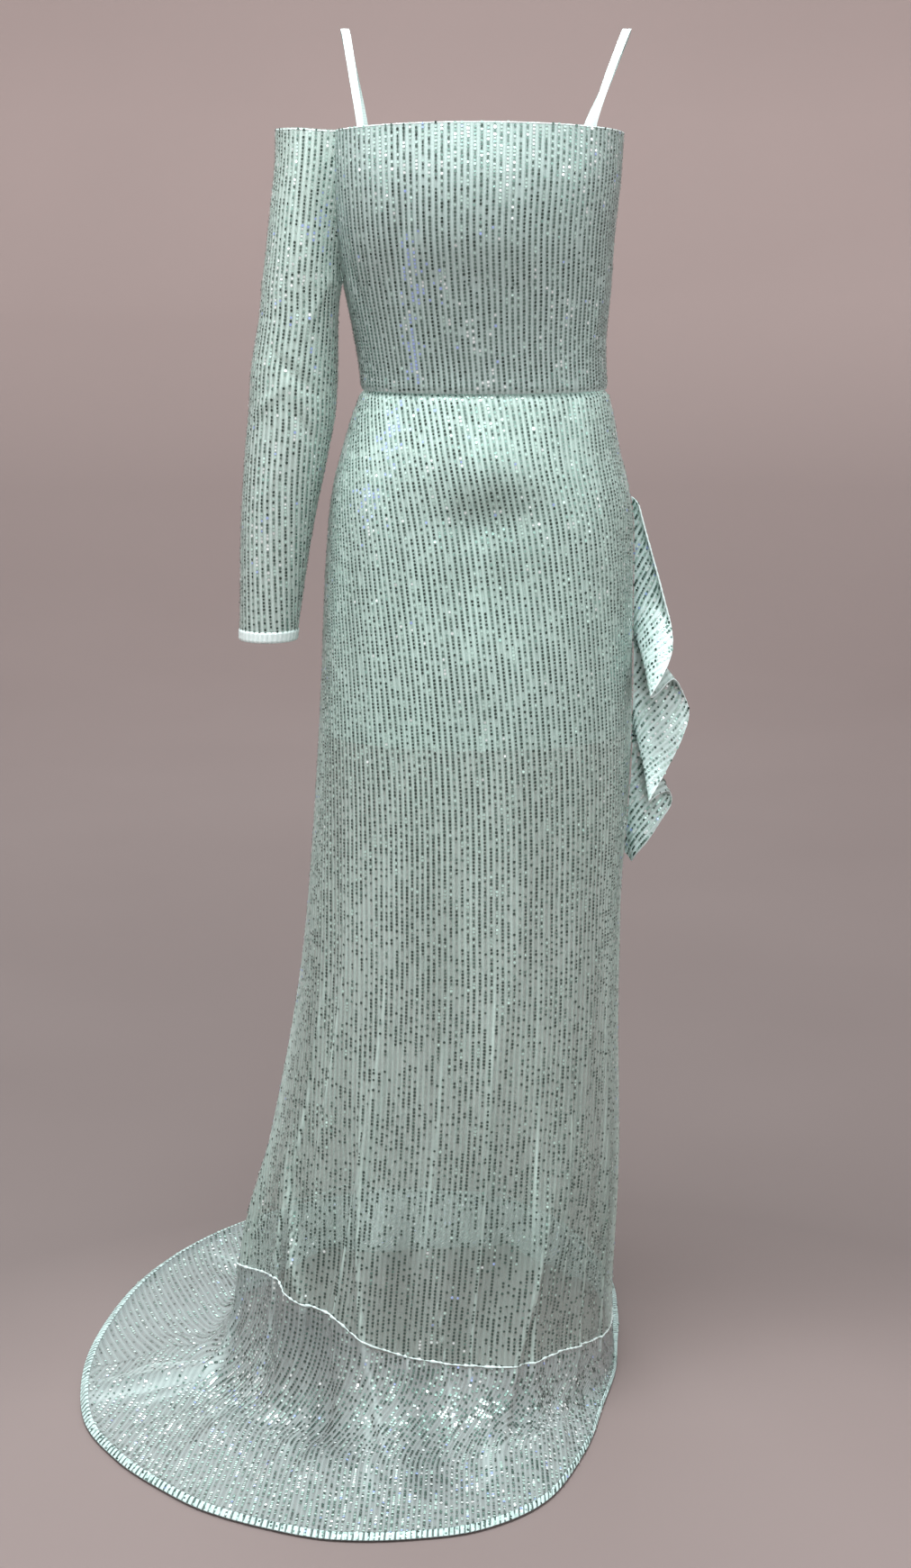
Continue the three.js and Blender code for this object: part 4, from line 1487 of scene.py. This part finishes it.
# Panels: grid, sequin lines, cloth, mood, where painted glints go, and the cut: flat size in metres, area
# and what each hangs from.
STRAPS = ["strap_sleeve_side", "strap_cascade_side"]
BODICE = dict(cloth=cloth_bodice_painted_shade, mood=bodice_mood, glints=BODY_GLINTS, hangs=STRAPS)
SKIRT = dict(grid=(168, 150), cloth=cloth_skirt, mood=skirt_mood, glints=BODY_GLINTS)
TRAIN_CLOTH = dict(grid=(180, 72), cloth=cloth_train, glints=TRAIN_GLINTS)
PANELS = {
    "bodice_front": dict(
        BODICE, grid=(110, 72), field=dict(spacing=6.1, line_of=bodice_lines("front")),
        flat=(0.40, 0.26), area=0.0914,
    ),
    "bodice_back": dict(
        BODICE, grid=(104, 72), field=dict(spacing=6.1, line_of=bodice_lines("back")),
        flat=(0.39, 0.26), area=0.091,
    ),
    "skirt_front": dict(
        SKIRT, field=dict(spacing=5.7, slant=0.24), pale_folds_and_painted_light=skirt_pale_folds_and_painted_light("front"),
        flat=(0.62, 0.99), area=0.46, hangs=["bodice_front"],
    ),
    "skirt_back": dict(
        SKIRT, field=dict(spacing=5.7, slant=-0.1), pale_folds_and_painted_light=skirt_pale_folds_and_painted_light("back"),
        flat=(0.66, 0.99), area=0.464, hangs=["bodice_back"],
    ),
    "sleeve": dict(
        grid=(84, 120), field=dict(spacing=5.8), cloth=cloth_sleeve, mood=sleeve_mood, glints=SLEEVE_GLINTS,
        flat=(0.30, 0.50), area=0.1175, hangs=["bodice_front", "bodice_back"],
    ),
    "side_cascade": dict(
        grid=(24, 300), field=dict(spacing=5.6, slant=0.8), cloth=cloth_cascade_painted_light, mood=cascade_mood,
        flat=(0.10, 0.56), area=0.0206, hangs=["skirt_front"],
    ),
    "train_front": dict(
        TRAIN_CLOTH, field=dict(spacing=5.4, line_of=train_lines("front"), thin=True), mood=train_front_mood,
        pale_folds_and_painted_light=train_pale_folds_and_painted_light("front"), flat=(1.05, 0.40), area=0.167, hangs=["skirt_front"],
    ),
    "train_back": dict(
        TRAIN_CLOTH, field=dict(spacing=5.4, line_of=train_lines("back"), thin=True), mood=train_back_mood,
        pale_folds_and_painted_light=train_pale_folds_and_painted_light("back"), flat=(1.10, 0.36), area=0.189, hangs=["skirt_back"],
    ),
}


def make_panel(name, panel, seed):
    """A panel's cloth and its sequins. The cascade shows its underside, so it has them on both."""
    surface = SURFACES[name]
    field = LineField(surface, **panel["field"])

    def uv_of(across, down):
        lines = field.sample(field.lines, across, down)
        return lines, field.sample(field.along, across, down) / SEQUIN_PITCH

    piece = cloth_piece(
        name + "_cloth", surface, panel["grid"], CLOTH_THICKNESS, panel["cloth"], uv_of, panel.get("pale_folds_and_painted_light")
    )
    settle(piece, [name])
    glints = (panel["glints"], PLACES[name]) if "glints" in panel else None
    sequins = [sequins_for(name + "_sequins", surface, field, panel["mood"], seed, glints)]
    if name == "side_cascade":
        sequins.append(sequins_for(name + "_under_sequins", surface, field, panel["mood"], seed, side=-1))
    for part in sequins:
        settle(part)
    return piece, sequins


def make_strap(name, strap):
    def uv_of(across, along):
        return across, along * STRAP_WEFTS

    surface = strap_surface(strap_rows(strap))
    piece = cloth_piece(name + "_web", surface, STRAP_GRID, STRAP_THICKNESS, strap_web, uv_of)
    settle(piece, [name])


def make_lining(name):
    def uv_of(across, down):
        return across * LINING_STITCHES[0], down * LINING_STITCHES[1]

    piece = cloth_piece(name + "_cloth", SURFACES[name], LINING_GRID, LINING_THICKNESS, cloth_lining, uv_of)
    settle(piece, [name])
    return piece


def band(name, surface, width, end, lift, grid, material, pucker, pitch):
    """A strip of one width on the lower edge of a surface, moved out a little, with its own puckers."""
    phases = np.random.default_rng(BAND_SEED).random(3) * 2 * math.pi
    sample = surface(np.linspace(0, 1, 200), np.full(200, end))
    turns = np.linalg.norm(np.diff(sample, axis=0), axis=1).sum() / pitch
    shares = np.linspace(0, 1, 121)
    lengths = np.linalg.norm(np.diff(surface(*np.meshgrid(shares, shares)), axis=0), axis=2).sum(axis=0)

    def strip(across, down):
        place = end - width * (1 - down) / np.interp(across, shares, lengths)
        wave = np.sin(2 * math.pi * turns * across + phases[0] + 2 * np.sin(across * 37 + phases[1]))
        crown = np.clip(3 * np.sin(math.pi * np.clip(down, 0.01, 0.99)), 0, 1)
        swell = 0.6 + 0.4 * np.sin(across * 61 + phases[2])
        out = lift * crown + BAND_GAP + pucker * wave * crown * swell
        return surface(across, place) + outward(surface, across, place) * out[..., None]

    def uv_of(across, down):
        return across * turns, down * 4

    return cloth_piece(name, strip, grid, BAND_THICKNESS, material, uv_of)


def row_path(surface, down, start, end, lift):
    """Points along one row of a surface, moved out a little."""
    across = np.linspace(start, end, 260)
    downs = np.full(len(across), down)
    return surface(across, downs) + outward(surface, across, downs) * lift


def neck_edge(name):
    path = row_path(SURFACES[name], down=0.003, start=0.001, end=0.999, lift=-0.4)
    return tube(name + "_neck_edge", path, radius=0.7, uneven=0.3)


def train_seam_ridge(name):
    path = row_path(SURFACES[name], down=0.9985, start=0, end=1, lift=0.4)
    return tube(name + "_train_seam", path, radius=0.85, uneven=1.7, wander=1.4)


def cascade_hem():
    down = np.linspace(0.004, 0.996, 300)
    path = SURFACES["side_cascade"](np.full(300, 0.996), down)
    return tube("side_cascade_hem", path, radius=0.9, uneven=0.4)


def cuff_band():
    surface = SURFACES["sleeve"]
    return band(
        "sleeve_cuff_band", surface, CUFF_WIDTH, end=0.9995, lift=0.9, grid=(160, 12),
        material=cloth_cuff, pucker=0.12, pitch=5,
    )


def hem_band(name):
    return band(
        name + "_hem_band", SURFACES[name], HEM_WIDTH, end=0.9985, lift=0.35, grid=(520, 6),
        material=cloth_hem, pucker=0.3, pitch=6.5,
    )


def make_edges():
    """Turned edges, seam ridges, cuff and rolled hems, each with the panel that it is sewn to."""
    edges = {name: [neck_edge(name)] for name in ("bodice_front", "bodice_back", "sleeve")}
    edges.update({name: [train_seam_ridge(name)] for name in ("skirt_front", "skirt_back")})
    edges["sleeve"].append(cuff_band())
    edges.update({name: [hem_band(name)] for name in ("train_front", "train_back")})
    edges["side_cascade"] = [cascade_hem()]
    for pieces in edges.values():
        for piece in pieces:
            settle(piece)
    return edges


def make_gown():
    make_strap("strap_sleeve_side", SLEEVE_SIDE_STRAP)
    make_strap("strap_cascade_side", CASCADE_SIDE_STRAP)
    for name in ("lining_front", "lining_back"):
        piece = make_lining(name)
    edges = make_edges()
    for seed, (name, panel) in enumerate(PANELS.items()):
        piece, sequins = make_panel(name, panel, seed + 11)
        sequins + edges[name]


# Studio
FLOOR_RADIUS = 4.0
FLOOR_SIDES = 96
SWEEP_RADIUS = 2.2
WALL_HEIGHT = 4.6
FLOOR_Z = -(SHOULDER_HEIGHT + 0.2) * METRE
STUDIO_REACH = 8.75
STUDIO_CENTRE = (0, 0.35, 0)
STUDIO_CLOUD = (0.30, 0.24, 0.23, 1.0)
SWEEP_STEPS = 10
# How light the studio cloth is, with a ring of painted shadow round the gown and painted light rising up its
# wall, by the share of the way from under the gown out and up its wall.
STUDIO_SHADES = (
    (0.057, 0.205),
    (0.073, 0.18),
    (0.094, 0.14),
    (0.17, 0.15),
    (0.23, 0.168),
    (0.30, 0.185),
    (0.40, 0.205),
    (0.54, 0.228),
    (0.62, 0.242),
    (0.686, 0.27),
    (0.75, 0.345),
    (0.805, 0.41),
    (0.855, 0.43),
    (0.90, 0.438),
    (0.94, 0.415),
)


def studio_paint():
    paint = Paint("studio_cloth")
    place = paint.place()
    height = paint.part(place, "Z")
    cloud = paint.noise(place, scale=1.4)
    flattened = (place, (1, 1, 0), STUDIO_CENTRE)
    level = paint.node("ShaderNodeVectorMath", {"operation": "MULTIPLY_ADD"}, flattened)
    out = paint.node("ShaderNodeVectorMath", {"operation": "LENGTH"}, (level,), "Value")
    share = (out + height - FLOOR_Z) * (1 / STUDIO_REACH)
    stops = [(at, rgb(shade, shade * 0.76, shade * 0.725)) for at, shade in STUDIO_SHADES]
    shades = paint.node("ShaderNodeValToRGB", {"stops": stops}, (share,))
    colour = paint.blend(cloud * 0.25, shades, STUDIO_CLOUD)
    paint.set(Base_Color=colour, Roughness=0.85)
    return paint.material


def extrude_rim(rise, grow):
    bpy.ops.mesh.select_mode(type="EDGE")
    bpy.ops.mesh.select_all(action="DESELECT")
    bpy.ops.mesh.select_non_manifold(extend=False)
    bpy.ops.mesh.extrude_edges_move(TRANSFORM_OT_translate={"value": (0, 0, rise)})
    bpy.ops.transform.resize(value=(grow, grow, 1), center_override=(0, 0, 0))


def make_studio():
    """A round floor that sweeps up into a wall on all sides."""
    deselect_all()
    bpy.ops.mesh.primitive_circle_add(
        vertices=FLOOR_SIDES, radius=FLOOR_RADIUS, fill_type="NGON", location=(0, 0, FLOOR_Z)
    )
    floor = bpy.context.object
    floor.name = "studio_sweep"
    bpy.ops.object.mode_set(mode="EDIT")
    bpy.ops.mesh.select_all(action="SELECT")
    for step in range(1, SWEEP_STEPS + 1):
        bend = math.pi / 2 * step / SWEEP_STEPS
        before = math.pi / 2 * (step - 1) / SWEEP_STEPS
        rise = SWEEP_RADIUS * (math.cos(before) - math.cos(bend))
        reach_before = FLOOR_RADIUS + SWEEP_RADIUS * math.sin(before)
        reach = FLOOR_RADIUS + SWEEP_RADIUS * math.sin(bend)
        extrude_rim(rise, reach / reach_before)
    extrude_rim(WALL_HEIGHT - SWEEP_RADIUS, 1.0)
    bpy.ops.object.mode_set(mode="OBJECT")
    bpy.ops.object.transform_apply(location=True)
    bpy.ops.object.shade_smooth()
    floor.data.materials.append(studio_paint())


# Lamps: place, aim, width, height and power.
LIGHTS = (
    ("overhead", (-0.3, -0.7, 2.0), (0, 0, -0.6), 1.5, 1.0, 128),
    ("front_high", (0.15, -3.5, 1.65), (0, 0, -0.4), 0.9, 0.6, 34),
    ("front_fill", (1.4, -4.4, 0.9), (0, 0, -0.6), 2.4, 2.4, 22),
    ("back_fill", (-0.6, 4.2, 2.0), (0, 0, -0.5), 2.4, 2.2, 80),
    ("left_fill", (-3.4, -1.4, 0.7), (0, 0, -0.6), 1.4, 1.6, 22),
    ("right_fill", (3.4, -1.4, 0.7), (0, 0, -0.6), 1.4, 1.6, 30),
)
LAMP_COLOUR = (0.925, 0.99, 1.0)
WALL_LIGHTS = 4
WALL_LIGHT_RADIUS = 3.6
WALL_LIGHT_HEIGHT = 3.0
WALL_LIGHT_AIM = 0.4
WALL_LIGHT_POWER = 90
SKY = (0.76, 0.83, 0.84, 1.0)
SKY_STRENGTH = 0.5


def wall_lights():
    """Lamps round the room that wash its wall and turn their backs to the gown."""
    rows = []
    for index in range(WALL_LIGHTS):
        turn = math.pi / 2 + 2 * math.pi * index / WALL_LIGHTS
        across, forward = math.cos(turn), math.sin(turn)
        place = (across * WALL_LIGHT_RADIUS, forward * WALL_LIGHT_RADIUS, WALL_LIGHT_HEIGHT)
        far = FLOOR_RADIUS + SWEEP_RADIUS
        aim = (across * far, forward * far, WALL_LIGHT_AIM)
        rows.append((f"wall_wash_{index}", place, aim, 3.0, 0.8, WALL_LIGHT_POWER))
    return rows


def make_lights():
    for name, place, aim, width, height, power in (*LIGHTS, *wall_lights()):
        lamp = bpy.data.lights.new(name, "AREA")
        lamp.shape = "RECTANGLE"
        lamp.size = width
        lamp.size_y = height
        lamp.energy = power
        lamp.color = LAMP_COLOUR
        holder = bpy.data.objects.new(name, lamp)
        holder.location = place
        reach = np.array(aim) - np.array(place)
        holder.rotation_euler = (
            math.atan2(math.hypot(reach[0], reach[1]), -reach[2]),
            0,
            math.atan2(-reach[0], reach[1]),
        )
        holder.visible_camera = False
        bpy.context.scene.collection.objects.link(holder)
    world = bpy.data.worlds.new("studio_sky")
    world.use_nodes = True
    sky = world.node_tree.nodes["Background"]
    sky.inputs["Color"].default_value = SKY
    sky.inputs["Strength"].default_value = SKY_STRENGTH
    bpy.context.scene.world = world


# The viewpoint, worked out from the photograph: 12 degrees down, level with the bust, 2.67 m away.
CAMERA_PLACE = (-0.030, -2.67, -0.168)
CAMERA_PITCH = 12
CAMERA_LENS = 62.03
CAMERA_SENSOR = 36


def make_camera():
    data = bpy.data.cameras.new("viewpoint")
    data.lens = CAMERA_LENS
    data.sensor_width = CAMERA_SENSOR
    camera = bpy.data.objects.new("viewpoint", data)
    camera.location = CAMERA_PLACE
    camera.rotation_euler = (math.radians(90 - CAMERA_PITCH), 0, 0)
    bpy.context.scene.collection.objects.link(camera)
    bpy.context.scene.camera = camera


make_camera()
make_lights()
make_studio()
make_gown()
bpy.context.scene.view_settings.view_transform = "Standard"
